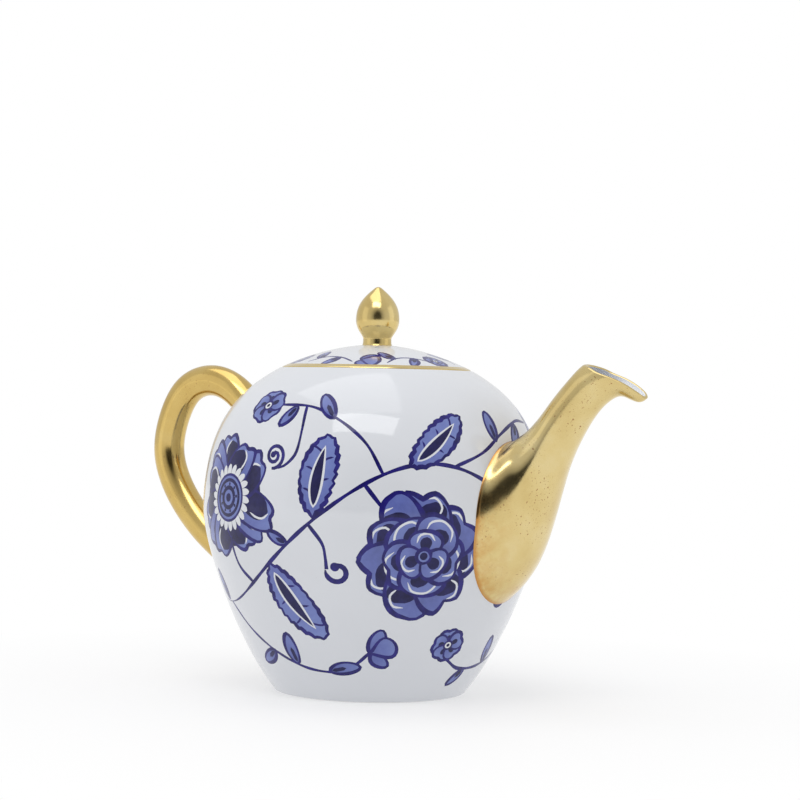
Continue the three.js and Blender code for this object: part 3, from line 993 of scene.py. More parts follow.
class TEAPOT_OT_body(bpy.types.Operator):
    """Cast body: painted outside, glazed inside, with its unglazed foot ring"""
    bl_idname = "teapot.body"
    bl_label = "Painted body"

    def execute(self, context):
        materials = finishes(context.scene)
        brush = Brush(Sheet(), context.scene.teapot_paint)
        for shift in (0, 180):
            vine(brush, shift)
        low, high = LOW_EDGE, HIGH_EDGE
        loose, border = skin_points(low, high, ROUND)
        opening = [(x / BODY.radius(STRAINER_S) * BODY_RADIUS, STRAINER_S + y)
                   for x, y in oval(STRAINER_HALF_WIDTH, STRAINER_HALF_HEIGHT)]
        clipped = [(finish, [(x, min(max(y, low), high)) for x, y in flat], light, axis)
                   for finish, flat, light, axis in brush.shapes]
        flat, triangles, top = cut_flat(loose, border, clipped, [opening])
        slots, tones = painted(flat, triangles, top, clipped)
        points, normals = BODY.place(flat[:, 0] / BODY_RADIUS, flat[:, 1])
        build = Build()
        build.patch(points, normals, triangles, slots, tones)
        start = math.radians(SEAM_TURN)
        edge = bezier(BODY.edge(high), (MOUTH_RADIUS + 0.05, MOUTH_Z),
                      (MOUTH_RADIUS, MOUTH_Z - 0.1), (MOUTH_RADIUS, MOUTH_Z - 0.7), 5)
        build.turned(edge, GLAZE, start=start)
        inner_low, inner_high = BODY.along(FLOOR_Z + WALL + 2), BODY.along(MOUTH_Z - 2.6)
        loose, border = skin_points(inner_low, inner_high, ROUND)
        flat, triangles, _ = cut_flat(loose, border, [], [opening])
        points, normals = BODY.place(flat[:, 0] / BODY_RADIUS, flat[:, 1], WALL)
        build.patch(points, -normals, [t[::-1] for t in triangles], GLAZE)
        loop_wall(build, opening, 0, WALL, -1, GLAZE)
        inner_edge = BODY.edge(inner_high, WALL)
        build.turned([(MOUTH_RADIUS, MOUTH_Z - 0.7), (MOUTH_RADIUS, MOUTH_Z - 2.0),
                      (MOUTH_RADIUS + 0.02, inner_edge[1] + 0.3), inner_edge], GLAZE,
                     start=start)
        radius, height = BODY.edge(inner_low, WALL)
        build.turned(bezier((radius, height), (radius - 1.6, FLOOR_Z + 1.2),
                            (radius - 5, FLOOR_Z), (radius - 11, FLOOR_Z), 10), GLAZE,
                     start=start)
        build.turned([(radius - 11, FLOOR_Z), (12, FLOOR_Z), (0, FLOOR_Z)], GLAZE,
                     start=start)
        foot = BODY.edge(low)
        inside = FOOT_RADIUS - FOOT_WIDTH
        build.turned(bezier((FOOT_RADIUS - 1.3, 0.15), (FOOT_RADIUS - 0.5, 0.15),
                            (foot[0] - 0.3, 0.4), foot, 6), GLAZE,
                     start=start)
        build.turned([(inside + 1.1, 0.15), (inside + 1.5, 0.0), (inside + 2.4, 0.0),
                      (FOOT_RADIUS - 1.7, 0.0), (FOOT_RADIUS - 1.3, 0.15)], BISCUIT,
                     start=start)
        build.turned(bezier((inside - 1.0, FOOT_RECESS), (inside - 0.1, FOOT_RECESS),
                            (inside + 0.2, 0.6), (inside + 1.1, 0.15), 6), GLAZE, start=start)
        build.turned([(0, FOOT_RECESS), (15, FOOT_RECESS), (inside - 1.0, FOOT_RECESS)],
                     GLAZE, start=start)
        build.piece("painted_body", materials, "pot", ["pot_body"], "painted_porcelain")
        return {"FINISHED"}


class TEAPOT_OT_strainer(bpy.types.Operator):
    """Pierced strainer plate in the wall behind the spout"""
    bl_idname = "teapot.strainer"
    bl_label = "Strainer"

    def execute(self, context):
        build = Build()
        gap = 0.12
        stretch = BODY_RADIUS / BODY.radius(STRAINER_S)
        border = [(x * stretch, STRAINER_S + y) for x, y in
                  oval(STRAINER_HALF_WIDTH - gap, STRAINER_HALF_HEIGHT - gap)]
        holes = [[(x * stretch, STRAINER_S + y) for x, y in oval(HOLE_RADIUS, HOLE_RADIUS, *c,
                                                                steps=28)]
                 for c in strainer_holes()]
        loose = [(x * stretch, STRAINER_S + y) for x in np.arange(-10, 11, 2.5)
                 for y in np.arange(-12, 13, 2.5)]
        flat, triangles, _ = cut_flat(loose, border, [], holes)
        turn, s = flat[:, 0] / BODY_RADIUS, flat[:, 1]
        points, normals = BODY.place(turn, s, 0.1)
        build.patch(points, normals, triangles, 0)
        points, normals = BODY.place(turn, s, WALL - 0.05)
        build.patch(points, -normals, [t[::-1] for t in triangles], 0)
        loop_wall(build, border, 0.1, WALL - 0.05, 1, 0)
        for hole in holes:
            loop_wall(build, hole, 0.1, WALL - 0.05, -1, 0)
        build.piece("pierced_strainer", finishes(context.scene)[:1], "pot",
                    ["strainer_plate"], "white_porcelain")
        return {"FINISHED"}


class TEAPOT_OT_gallery(bpy.types.Operator):
    """Gallery ring inside the mouth, the ledge the lid rests on"""
    bl_idname = "teapot.gallery"
    bl_label = "Lid gallery"

    def execute(self, context):
        build = Build()
        low = SEAT_Z - SEAT_DEPTH
        ledge = [(MOUTH_RADIUS, SEAT_Z - 0.3), (MOUTH_RADIUS - 0.4, SEAT_Z),
                 (SEAT_RADIUS + 0.7, SEAT_Z)]
        nose = bezier((SEAT_RADIUS + 0.7, SEAT_Z), (SEAT_RADIUS, SEAT_Z),
                      (SEAT_RADIUS, SEAT_Z - 0.3), (SEAT_RADIUS, SEAT_Z - 0.8), 5)
        under = bezier((SEAT_RADIUS, low + 0.8), (SEAT_RADIUS, low), (SEAT_RADIUS + 1.5, low),
                       (MOUTH_RADIUS + 2.6, low), 8)
        build.turned(ledge, 0, RING)
        build.turned(nose, 0, RING)
        build.turned([(SEAT_RADIUS, SEAT_Z - 0.8), (SEAT_RADIUS, low + 0.8)], 0, RING)
        build.turned(under, 0, RING)
        build.turned([(MOUTH_RADIUS + 2.6, low), (MOUTH_RADIUS + 1.6, low + 1.0),
                      (MOUTH_RADIUS, low + 2.0), (MOUTH_RADIUS, SEAT_Z - 0.3)], 0, RING)
        build.piece("gallery_ring", finishes(context.scene)[:1], "pot", ["lid_gallery"],
                    "white_porcelain")
        return {"FINISHED"}


# ---- lid -----------------------------------------------------------------------------------------
def disc_points(radius):
    """Loose points in rings for a round sheet, and its border."""
    points = [(0.0, 0.0)]
    rings = int(radius / 2.0)
    for i in range(1, rings):
        r = radius * i / rings
        points += oval(r, r, steps=max(8, int(2 * math.pi * r / 2.0)))
    return points, oval(radius, radius, steps=ROUND)


def dome_place(flat, outline):
    """Points and normals of a dome over flat points, from its outline."""
    r = np.hypot(flat[:, 0], flat[:, 1])
    order = np.argsort(outline.r)
    z = np.interp(r, outline.r[order], outline.z[order])
    nr = np.interp(r, outline.r[order], outline.nr[order])
    nz = np.interp(r, outline.r[order], outline.nz[order])
    c, s = flat[:, 0] / np.maximum(r, 1e-6), flat[:, 1] / np.maximum(r, 1e-6)
    nr = nr * np.minimum(1, r / 1.0)
    points = np.stack([flat[:, 0], flat[:, 1], z], -1)
    normals = np.stack([nr * c, nr * s, nz], -1)
    return points, normals / np.linalg.norm(normals, axis=1)[:, None]


class TEAPOT_OT_lid(bpy.types.Operator):
    """Lid: painted dome with a gilt edge, its steam hole and its plain underside"""
    bl_idname = "teapot.lid"
    bl_label = "Painted lid"

    def execute(self, context):
        paint = context.scene.teapot_paint
        brush = Brush(Disc(), paint)
        lid_vine(brush)
        rim = LID_RADIUS - 0.35
        gilt = LID_RADIUS - paint.gilt_width / MM * 0.9
        loose, border = disc_points(rim)
        vent = oval(VENT_RADIUS, VENT_RADIUS, -VENT_REACH, 0, 28)
        line = oval(gilt, gilt, steps=ROUND)
        far = LID_RADIUS - 0.6
        shapes = [(finish, [tuple(np.array(p) * min(1, far / max(math.hypot(*p), 1e-6)))
                            for p in flat], light, axis)
                  for finish, flat, light, axis in brush.shapes]
        shapes = [(GLAZE, line, (0, 0), (line[0], line[1])), *shapes]
        flat, triangles, top = cut_flat(loose, border, shapes, [vent])
        slots, tones = painted(flat, triangles, top, shapes)
        for i, triangle in enumerate(triangles):
            if math.hypot(*flat[triangle].mean(axis=0)) > gilt - 0.01:
                slots[i], tones[i] = GILT, [0.0] * 3
        points, normals = dome_place(flat, LID)
        build = Build()
        build.patch(points, normals, triangles, slots, tones)
        edge_z = float(np.interp(rim, LID.r[::-1], LID.z[::-1]))
        build.turned(bezier((LID_RADIUS, MOUTH_Z - 0.3), (LID_RADIUS, MOUTH_Z),
                            (rim + 0.25, edge_z - 0.15), (rim, edge_z), 5), GILT)
        build.turned([(LID_RADIUS - 0.5, LID_BASE_Z), (LID_RADIUS, LID_BASE_Z + 0.5),
                      (LID_RADIUS, MOUTH_Z - 0.3)], GLAZE)
        inner = COLLAR_RADIUS - COLLAR_WALL
        under = Outline(np.vstack([
            [(LID_RADIUS - 0.5, LID_BASE_Z), (inner + 0.6, LID_BASE_Z)],
            bezier((inner, LID_BASE_Z), (inner * 0.92, MOUTH_Z + 2.8),
                   (inner * 0.45, CROWN_Z - WALL), (0, CROWN_Z - WALL), 60)]))
        loose, border = disc_points(LID_RADIUS - 0.5)
        flat, triangles, _ = cut_flat(loose, border, [], [vent])
        points, normals = dome_place(flat, under)
        build.patch(points, -normals, [t[::-1] for t in triangles], GLAZE)
        hole = np.array(vent)
        upper, _ = dome_place(hole, LID)
        lower, _ = dome_place(hole, under)
        inward = np.array([[-VENT_REACH, 0, 0]]) - np.c_[hole, np.zeros(len(hole))]
        inward /= np.linalg.norm(inward, axis=1)[:, None]
        build.grid(np.stack([upper, lower]), np.stack([inward, inward]), GLAZE, close=True)
        build.piece("painted_lid", finishes(context.scene)[:5], "lid", ["lid_dome"],
                    "painted_porcelain")
        return {"FINISHED"}


class TEAPOT_OT_collar(bpy.types.Operator):
    """Deep collar under the lid that steadies it in the mouth"""
    bl_idname = "teapot.collar"
    bl_label = "Lid collar"

    def execute(self, context):
        build = Build()
        inner, top = COLLAR_RADIUS - COLLAR_WALL, LID_BASE_Z + 0.05
        nose = bezier((inner, COLLAR_LOW + 1.2), (inner, COLLAR_LOW), (COLLAR_RADIUS - 1.2,
                      COLLAR_LOW), (COLLAR_RADIUS - 0.6, COLLAR_LOW + 0.9), 8)
        build.turned([(inner, top), (inner, COLLAR_LOW + 1.2)], 0, RING)
        build.turned(nose, 0, RING)
        build.turned([(COLLAR_RADIUS - 0.6, COLLAR_LOW + 0.9),
                      (COLLAR_RADIUS, COLLAR_LOW + 3), (COLLAR_RADIUS, top - 0.8),
                      (COLLAR_RADIUS + 0.5, top)], 0, RING)
        build.turned([(COLLAR_RADIUS + 0.5, top), (inner, top)], 0, RING)
        build.piece("lid_locating_collar", finishes(context.scene)[:1], "lid",
                    ["lid_collar"], "white_porcelain")
        return {"FINISHED"}


class TEAPOT_OT_knob(bpy.types.Operator):
    """Gilded bud knob on the crown of the lid"""
    bl_idname = "teapot.knob"
    bl_label = "Knob"

    def execute(self, context):
        build = Build()
        height = KNOB_TOP - CROWN_Z
        foot = CROWN_Z - SUNK

        def at(share):
            return CROWN_Z + height * share

        build.turned([(0, foot), (NECK_RADIUS + 0.5, foot)], 0, 72)
        build.turned(bezier((NECK_RADIUS + 0.5, foot), (NECK_RADIUS + 0.1, foot + 0.3),
                            (NECK_RADIUS, foot + 0.6), (NECK_RADIUS, at(0.10)), 6), 0, 72)
        flare = bezier((NECK_RADIUS, at(0.10)), (NECK_RADIUS * 1.02, at(0.16)),
                       (KNOB_RADIUS, at(0.25)), (KNOB_RADIUS, at(0.43)), 22)
        point = bezier((KNOB_RADIUS, at(0.43)), (KNOB_RADIUS, at(0.68)),
                       (KNOB_RADIUS * 0.68, at(0.82)), (KNOB_RADIUS * 0.18, at(0.972)), 30)
        tip = bezier((KNOB_RADIUS * 0.18, at(0.972)), (KNOB_RADIUS * 0.12, at(0.992)),
                     (KNOB_RADIUS * 0.06, at(1)), (0, at(1)), 6)
        build.turned(np.vstack([flare, point[1:], tip[1:]]), 0, 72)
        finish = context.scene.teapot_finish
        # The knob's gold is tinted a little deeper.
        build.piece("gilded_knob", [gold_material("knob_gold", finish, 0.35,
                                                  (0.98, 0.95, 0.85))], "lid",
                    ["lid_knob"], "gilding")
        return {"FINISHED"}


# ---- spout and handle ----------------------------------------------------------------------------
# Outline points are [millimetres out from the belly, share of the mouth's height].
SPOUT_UPPER = [(-13, 0.760), (-4.5, 0.781), (0, 0.804), (4.7, 0.833), (9.7, 0.879),
               (14.7, 0.932), (19.6, 0.978), (25.4, 1.025), (33, 1.048), (39.5, 1.040),
               (45.4, 1.007), (48.8, 0.985), (51.0, 0.972), (52.4, 0.960)]
SPOUT_LOWER = [(-19, 0.300), (-8.4, 0.307), (-0.4, 0.365), (5.8, 0.449), (10.6, 0.556),
               (15.6, 0.682), (22.1, 0.790), (29.4, 0.877), (35.6, 0.920), (40, 0.931),
               (43.8, 0.921), (46.9, 0.914), (49.2, 0.922), (50.6, 0.940)]
SPOUT_HALF = [22.4, 24.2, 21.4, 16.8, 13.7, 11.6, 9.8, 8.2, 7.1, 5.9, 4.8, 3.9, 2.8, 1.5]
MOUTH_LINE = [(-16, 1.113), (24.5, 1.022), (33, 0.996), (38.6, 0.981), (42.8, 0.966),
              (46.2, 0.950), (48.8, 0.933), (50.6, 0.906), (52, 0.877)]
HANDLE_LINE = [(-13, 0.808), (-7.5, 0.858), (2.4, 0.931), (14.7, 0.959), (27.8, 0.912),
               (35.1, 0.755), (31.9, 0.639), (24.4, 0.547), (16.1, 0.478), (8.1, 0.428),
               (-5, 0.357), (-13, 0.317)]


SPOUT_COLUMNS = 72
ROOT_ROWS, RISE_ROWS, MOUTH_ROWS = 30, 40, 56
CUT_STEPS = 400            # places tried round the spout for where the mouth cuts it
LIP_SWELL = 0.24           # roundness of the lip, as a share of the wall there


def beyond(points, side=1):
    return np.array([(side * (BODY_RADIUS + x), MOUTH_Z * rise) for x, rise in points])


def body_radius_at(z):
    return np.interp(z, BODY.z, BODY.r)


def shifted(line, distance):
    run = np.gradient(line, axis=0)
    run /= np.linalg.norm(run, axis=1)[:, None]
    return line + np.stack([run[:, 1], -run[:, 0]], -1) * np.reshape(distance, (-1, 1))


def eased(line, reach):
    """The same line with its bends evened out over a few neighbouring points."""
    padded = np.vstack([2 * line[0] - line[reach:0:-1], line,
                        2 * line[-1] - line[-2:-reach - 2:-1]])
    weights = np.hanning(2 * reach + 3)[1:-1]
    weights /= weights.sum()
    return np.stack([np.convolve(padded[:, k], weights, "valid") for k in (0, 1)], -1)


def steeper(function, low, high, rounds=34):
    """The place between low and high where a rising function passes zero."""
    for _ in range(rounds):
        middle = (low + high) / 2
        below = function(middle) < 0
        low = np.where(below, middle, low)
        high = np.where(below, high, middle)
    return (low + high) / 2


class Tube:
    """The spout's skin as a function of the share along it and the bearing round it."""

    def __init__(self, inset):
        steps = 600
        self.t = np.linspace(0, 1, steps + 1)
        inset = inset * np.interp(self.t, (0.3, 0.75), (1.0, 0.55))
        self.upper = shifted(eased(spline(beyond(SPOUT_UPPER), steps), 28), inset)
        self.lower = shifted(eased(spline(beyond(SPOUT_LOWER), steps), 28), -inset)
        self.half = eased(spline([(h, 0) for h in SPOUT_HALF], steps), 28)[:, 0] - inset

    def at(self, t, v, w):
        """v runs from -1 on the lower line to 1 on the upper; w from -1 to 1 across."""
        high = [np.interp(t, self.t, self.upper[:, k]) for k in (0, 1)]
        low = [np.interp(t, self.t, self.lower[:, k]) for k in (0, 1)]
        x = (high[0] + low[0]) / 2 + (high[0] - low[0]) / 2 * v
        z = (high[1] + low[1]) / 2 + (high[1] - low[1]) / 2 * v
        y = np.interp(t, self.t, self.half) * w
        return np.stack([x, y, z], -1)


def above_mouth(point, line):
    """Height of a point above the spout's slanted mouth: negative below it."""
    x, z = point[..., 0], point[..., 2]
    best = np.full(x.shape, 1e9)
    sign = np.ones(x.shape)
    for a, b in zip(line[:-1], line[1:]):
        run = b - a
        length = np.hypot(*run)
        t = np.clip(((x - a[0]) * run[0] + (z - a[1]) * run[1]) / length ** 2, 0, 1)
        gap = np.hypot(x - a[0] - run[0] * t, z - a[1] - run[1] * t)
        side = run[0] * (z - a[1]) - run[1] * (x - a[0])
        closer = gap < best
        best = np.where(closer, gap, best)
        sign = np.where(closer, np.sign(side), sign)
    return best * sign


class TEAPOT_OT_spout(bpy.types.Operator):
    """Gilded spout with its slanted mouth, curled lip and white bore"""
    bl_idname = "teapot.spout"
    bl_label = "Spout"

    def execute(self, context):
        line = spline(beyond(MOUTH_LINE), 160)
        outer, inner = Tube(0), Tube(SPOUT_WALL)
        side = np.linspace(-1, 1, SPOUT_COLUMNS + 1)

        def opening(tube, t):
            """How far round from the lower line the wall reaches before the mouth cuts it."""
            angle = np.linspace(0, math.pi, CUT_STEPS)
            v = -np.cos(angle)
            over = above_mouth(tube.at(np.full(CUT_STEPS, t), v, np.sin(angle)), line)
            if np.all(over < 0):
                return math.pi
            first = int(np.argmax(over >= 0))
            if first == 0:
                return 0.0
            share = -over[first - 1] / (over[first] - over[first - 1])
            return angle[first - 1] + (angle[first] - angle[first - 1]) * share

        def ends(tube):
            """Shares along the tube where the mouth's cut begins and where it ends."""
            back = float(steeper(lambda t: 1.0 if opening(tube, t) < math.pi else -1.0, 0.3,
                                 0.9))
            return back, float(steeper(lambda t: 1.0 if opening(tube, t) <= 0 else -1.0,
                                       back, 1.0))

        join = ends(outer)[0] * 0.45

        def start_of(tube, angle, sunk):
            v, w = -np.cos(angle), np.sin(angle)

            def out(t):
                p = tube.at(t, v, w)
                return np.hypot(p[:, 0], p[:, 1]) - body_radius_at(p[:, 2]) + sunk
            return steeper(out, np.zeros(len(v)), np.full(len(v), join))

        def surface(tube, sunk):
            full = side * math.pi
            begin = start_of(tube, full, sunk)
            points = [tube.at(begin + (join - begin) * share, -np.cos(full), np.sin(full))
                      for share in np.linspace(0, 1, ROOT_ROWS)]
            back, tip = ends(tube)
            for t in np.linspace(join, back, RISE_ROWS)[1:]:
                points.append(tube.at(np.full(len(full), t), -np.cos(full), np.sin(full)))
            for share in (1 - np.cos(np.linspace(0, math.pi, MOUTH_ROWS)[1:])) / 2:
                t = back + (tip - back) * share
                angle = side * opening(tube, t)
                points.append(tube.at(np.full(len(angle), t), -np.cos(angle),
                                      np.sin(angle)))
            return np.array(points)

        skin, bore = surface(outer, SUNK), surface(inner, SUNK)
        mouth_row = ROOT_ROWS + RISE_ROWS - 2
        gap = np.hypot(skin[..., 0], skin[..., 1]) - body_radius_at(skin[..., 2])
        fillet = 1.1 * np.exp(-np.maximum(gap, 0) / 1.1)
        away = skin - skin.mean(axis=1, keepdims=True)
        away /= np.maximum(np.linalg.norm(away, axis=2), 1e-6)[..., None]
        fade = np.linspace(1, 0, ROOT_ROWS)[:, None, None]
        skin[:ROOT_ROWS] += (away * fillet[..., None])[:ROOT_ROWS] * fade
        normals_out = grid_normals(skin)
        normals_in = -grid_normals(bore)
        gap = np.maximum(gap, 0)
        tone = 0.7 * np.clip(1.0 - gap / 9.0, 0, 1) ** 1.5 + 0.3 * np.exp(-gap / 0.7)
        build = Build()
        build.grid(skin, normals_out, 0, tone)
        build.grid(bore, normals_in, 1, flip=True)
        root = np.stack([skin[0], bore[0]])
        build.grid(root, -np.ones_like(root) / math.sqrt(3), 0, flip=True)
        raise_z = np.array([0.25, 0.0, 1.0])
        raise_z /= np.linalg.norm(raise_z)
        for column, facing in ((0, False), (SPOUT_COLUMNS, True)):
            edge_out, edge_in = skin[mouth_row:, column], bore[mouth_row:, column]
            loops = []
            span = np.linalg.norm(edge_in - edge_out, axis=1)[:, None]
            for share in np.linspace(0, 1, 6):
                swell = math.sin(math.pi * share) * LIP_SWELL
                loops.append(edge_out + (edge_in - edge_out) * share + raise_z * span * swell)
            loops = np.array(loops).transpose(1, 0, 2)
            build.grid(loops, grid_normals(loops) * (1 if facing else -1), 0,
                       flip=not facing)
        finish = context.scene.teapot_finish
        # The bore takes the white glaze painted lighter: painted light inside the spout.
        build.piece("gilded_spout",
                    [gold_material("spout_gold", finish, 1.0), painted_light_bore_material(finish)],
                    "pot", ["spout"], "gilding")
        return {"FINISHED"}


def grid_normals(points):
    """Outward normals of a smooth grid of points, by its own row and column directions."""
    along = np.gradient(points, axis=0)
    around = np.gradient(points, axis=1)
    normal = np.cross(around, along)
    size = np.linalg.norm(normal, axis=2)
    normal /= np.maximum(size, 1e-12)[..., None]
    poor = size < 1e-7
    for i, k in zip(*np.nonzero(poor)):
        normal[i, k] = normal[max(i - 1, 0), k] if i else normal[1, k]
    return normal


class TEAPOT_OT_handle(bpy.types.Operator):
    """Gilded loop handle, luted to the shoulder and low on the belly"""
    bl_idname = "teapot.handle"
    bl_label = "Handle"

    def execute(self, context):
        line = eased(spline(beyond(HANDLE_LINE, -1), 800), 60)
        share = np.linspace(0, 1, len(line))
        run = np.gradient(line, axis=0)
        run /= np.linalg.norm(run, axis=1)[:, None]
        columns = 48
        angle = np.linspace(0, 2 * math.pi, columns, endpoint=False)

        def at(t, a):
            x, z = np.interp(t, share, line[:, 0]), np.interp(t, share, line[:, 1])
            rx, rz = np.interp(t, share, run[:, 0]), np.interp(t, share, run[:, 1])
            across = HANDLE_RADIUS * np.cos(a)
            return np.stack([x - rz * across, HANDLE_RADIUS * np.sin(a), z + rx * across], -1)

        def out(t):
            p = at(t, angle)
            return np.hypot(p[:, 0], p[:, 1]) - body_radius_at(p[:, 2]) + SUNK

        first = steeper(out, np.zeros(columns), np.full(columns, 0.25))
        last = steeper(lambda t: -out(t), np.full(columns, 0.75), np.ones(columns))
        rows = 150
        points = np.array([at(first + (last - first) * s, angle)
                           for s in np.linspace(0, 1, rows)])
        gap = np.hypot(points[..., 0], points[..., 1]) - body_radius_at(points[..., 2])
        away = points - points.mean(axis=1, keepdims=True)
        away /= np.linalg.norm(away, axis=2)[..., None]
        points += away * (1.3 * np.exp(-np.maximum(gap, 0) / 1.6))[..., None]
        wrapped = np.concatenate([points[:, -1:], points, points[:, :1]], axis=1)
        normals = grid_normals(wrapped)[:, 1:-1]
        middle = points.mean(axis=1, keepdims=True)
        flip = np.sum(normals[rows // 2] * (points[rows // 2] - middle[rows // 2])) < 0
        if flip:
            normals = -normals
        tone = np.clip(1.0 - np.maximum(gap, 0) / 7.0, 0, 1)
        build = Build()
        build.grid(points, normals, 0, tone, close=True, flip=flip)
        for row, turn in ((0, not flip), (rows - 1, flip)):
            cap = np.concatenate([points[row], points[row].mean(axis=0)[None]])
            faces = [[k, (k + 1) % columns, columns] for k in range(columns)]
            inward = np.tile(-away[row].mean(axis=0) + [1, 0, 0], (columns + 1, 1))
            build.patch(cap, inward, [f[::-1] for f in faces] if not turn else faces, 0)
        finish = context.scene.teapot_finish
        # Painted shade: the handle's gold is a darker, deeper copy of the same gilding.
        build.piece("gilded_handle", [gold_material("handle_gold", finish, 0.5,
                                                    (0.92, 0.83, 0.62))], "pot",
                    ["handle"], "gilding")
        return {"FINISHED"}


# ---- stage ---------------------------------------------------------------------------------------
VIEW_BEARING = 32.5        # degrees the camera stands round from square-on to the spout
VIEW_DISTANCE = 0.8727
VIEW_HEIGHT = 0.1126
VIEW_ASIDE = 0.0092
VIEW_RISE = -0.0013        # how far the view climbs for each unit forward
VIEW_ROLL = 1.24
FLOOR_RADIUS = 6.0
VIEW_LENS = 102.65


def aim(thing, target):
    thing.rotation_mode = "QUATERNION"
    thing.rotation_quaternion = (Vector(target) - thing.location).to_track_quat("-Z", "Y")


class TEAPOT_OT_stage(bpy.types.Operator):
    """White floor, soft light tent and the camera"""
    bl_idname = "teapot.stage"
    bl_label = "Stage"

    def execute(self, context):
        scene = context.scene
        scene.view_settings.view_transform = "Standard"
        scene.view_settings.look = "None"
        bearing = math.radians(VIEW_BEARING)
        back = Vector((math.sin(bearing), -math.cos(bearing), 0))
        right = Vector((math.cos(bearing), math.sin(bearing), 0))

        camera = bpy.data.objects.new("camera", bpy.data.cameras.new("camera"))
        scene.collection.objects.link(camera)
        camera.data.lens = VIEW_LENS
        camera.data.sensor_width = 36
        camera.location = (back * VIEW_DISTANCE + right * VIEW_ASIDE
                           + Vector((0, 0, VIEW_HEIGHT)))
        look = (-back + Vector((0, 0, VIEW_RISE))).to_track_quat("-Z", "Y")
        camera.rotation_mode = "QUATERNION"
        camera.rotation_quaternion = look @ Quaternion((0, 0, 1), math.radians(VIEW_ROLL))
        camera.data.clip_start, camera.data.clip_end = 0.05, 50
        scene.camera = camera

        floor_mesh = bpy.data.meshes.new("floor")
        border = oval(FLOOR_RADIUS, FLOOR_RADIUS, steps=RING)
        floor_mesh.from_pydata([(x, y, 0) for x, y in border], [], [list(range(RING))])
        floor = bpy.data.objects.new("floor", floor_mesh)
        scene.collection.objects.link(floor)
        floor_mesh.materials.append(floor_material())

        self.tent(scene, back)
        up = Vector((0, 0, 1))
        for name, place, height, size, watts in (
                ("top_box", Vector((-0.10, -0.10, 0.95)), 0.06, (0.8, 0.6), 1.6),
                ("front_box", back * 0.68 - right * 0.12 + up * 1.08, 0.09, (0.80, 0.40), 3.3),
                ("left_box", back * 0.35 - right * 1.15 + up * 0.45, 0.08, (0.7, 0.9), 0.5),
                ("right_box", back * 0.15 + right * 1.2 + up * 0.5, 0.08, (0.7, 0.9), 0.5)):
            self.lamp(scene, name, place, (0, 0, height), size, watts)
        return {"FINISHED"}

    @staticmethod
    def lamp(scene, name, place, target, size, power):
        light = bpy.data.lights.new(name, "AREA")
        light.shape = "RECTANGLE"
        light.size, light.size_y = size
        light.energy = power
        thing = bpy.data.objects.new(name, light)
        scene.collection.objects.link(thing)
        thing.location = Vector(place)
        aim(thing, target)

    @staticmethod
    def tent(scene, back):
        """Pale surroundings, darker where the open front of the tent is."""
        world = bpy.data.worlds.new("light_tent")
        scene.world = world
        world.use_nodes = True
        tree = world.node_tree
        shade = tree.nodes["Background"]
        place = node(tree, "ShaderNodeTexCoord")
        toward = node(tree, "ShaderNodeVectorMath", operation="DOT_PRODUCT")
        tree.links.new(place.outputs["Generated"], toward.inputs[0])
        front = (back + Vector((0, 0, 0.12))).normalized()
        toward.inputs[1].default_value = front
        tone = ramp(tree, toward.outputs["Value"], [
            (0.0, grey(0.78)), (0.75, grey(0.67)), (0.90, grey(0.40)), (0.955, grey(0.04)),
            (1.0, grey(0.03))])
        seen = node(tree, "ShaderNodeLightPath")
        colour = mixed(tree, seen.outputs["Is Camera Ray"], tone, grey(1.0))
        tree.links.new(colour, shade.inputs["Color"])
        shade.inputs["Strength"].default_value = 1.0


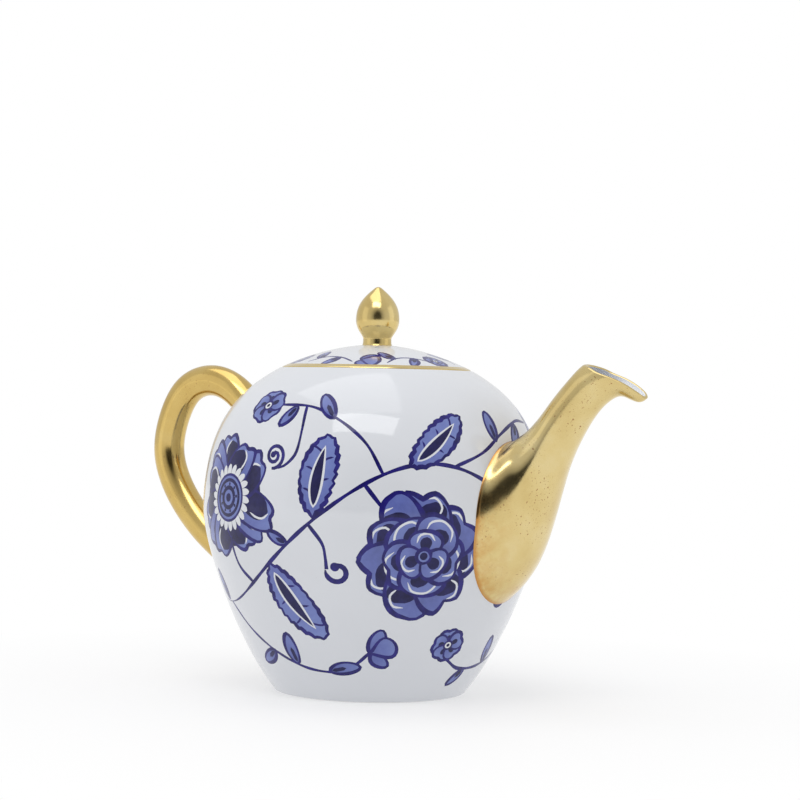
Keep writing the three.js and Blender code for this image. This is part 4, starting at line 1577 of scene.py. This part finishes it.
def floor_material():
    """White paper near the pot that fades into the bright surroundings further off."""
    material, tree, shader = new_material("white_paper")
    shader.inputs["Base Color"].default_value = (0.93, 0.93, 0.94, 1)
    shader.inputs["Roughness"].default_value = 0.55
    glow = node(tree, "ShaderNodeEmission")
    glow.inputs["Color"].default_value = (1, 1, 1, 1)
    place = node(tree, "ShaderNodeTexCoord")
    distance = node(tree, "ShaderNodeVectorMath", operation="LENGTH")
    tree.links.new(place.outputs["Object"], distance.inputs[0])
    share = node(tree, "ShaderNodeMapRange")
    share.inputs["From Min"].default_value = 0.06
    share.inputs["From Max"].default_value = 0.24
    share.inputs["To Min"].default_value = 0.50
    tree.links.new(distance.outputs["Value"], share.inputs["Value"])
    blend = node(tree, "ShaderNodeMixShader")
    tree.links.new(share.outputs["Result"], blend.inputs[0])
    tree.links.new(shader.outputs[0], blend.inputs[1])
    tree.links.new(glow.outputs[0], blend.inputs[2])
    tree.links.new(blend.outputs[0], tree.nodes["Material Output"].inputs["Surface"])
    return material


class TEAPOT_PT_panel(bpy.types.Panel):
    """Lists the teapot's pieces and settings"""
    bl_idname = "TEAPOT_PT_panel"
    bl_label = "Teapot"
    bl_space_type = "VIEW_3D"
    bl_region_type = "UI"
    bl_category = "Teapot"

    def draw(self, context):
        column = self.layout.column()
        for operator in OPERATORS:
            column.operator(operator.bl_idname)
        for settings in (context.scene.teapot_paint, context.scene.teapot_finish):
            for key in settings.bl_rna.properties.keys():
                if key not in ("rna_type", "name"):
                    column.prop(settings, key)


GROUPS = (TeapotPaint, TeapotFinish)
OPERATORS = (TEAPOT_OT_body, TEAPOT_OT_strainer, TEAPOT_OT_gallery, TEAPOT_OT_lid,
             TEAPOT_OT_collar, TEAPOT_OT_knob, TEAPOT_OT_spout, TEAPOT_OT_handle,
             TEAPOT_OT_stage)


def register():
    for item in (*GROUPS, *OPERATORS, TEAPOT_PT_panel):
        bpy.utils.register_class(item)
    bpy.types.Scene.teapot_paint = bpy.props.PointerProperty(type=TeapotPaint)
    bpy.types.Scene.teapot_finish = bpy.props.PointerProperty(type=TeapotFinish)


def unregister():
    del bpy.types.Scene.teapot_finish
    del bpy.types.Scene.teapot_paint
    for item in reversed((*GROUPS, *OPERATORS, TEAPOT_PT_panel)):
        bpy.utils.unregister_class(item)


def main():
    register()
    for operator in OPERATORS:
        family, name = operator.bl_idname.split(".")
        getattr(getattr(bpy.ops, family), name)()


if __name__ == "__main__":
    main()
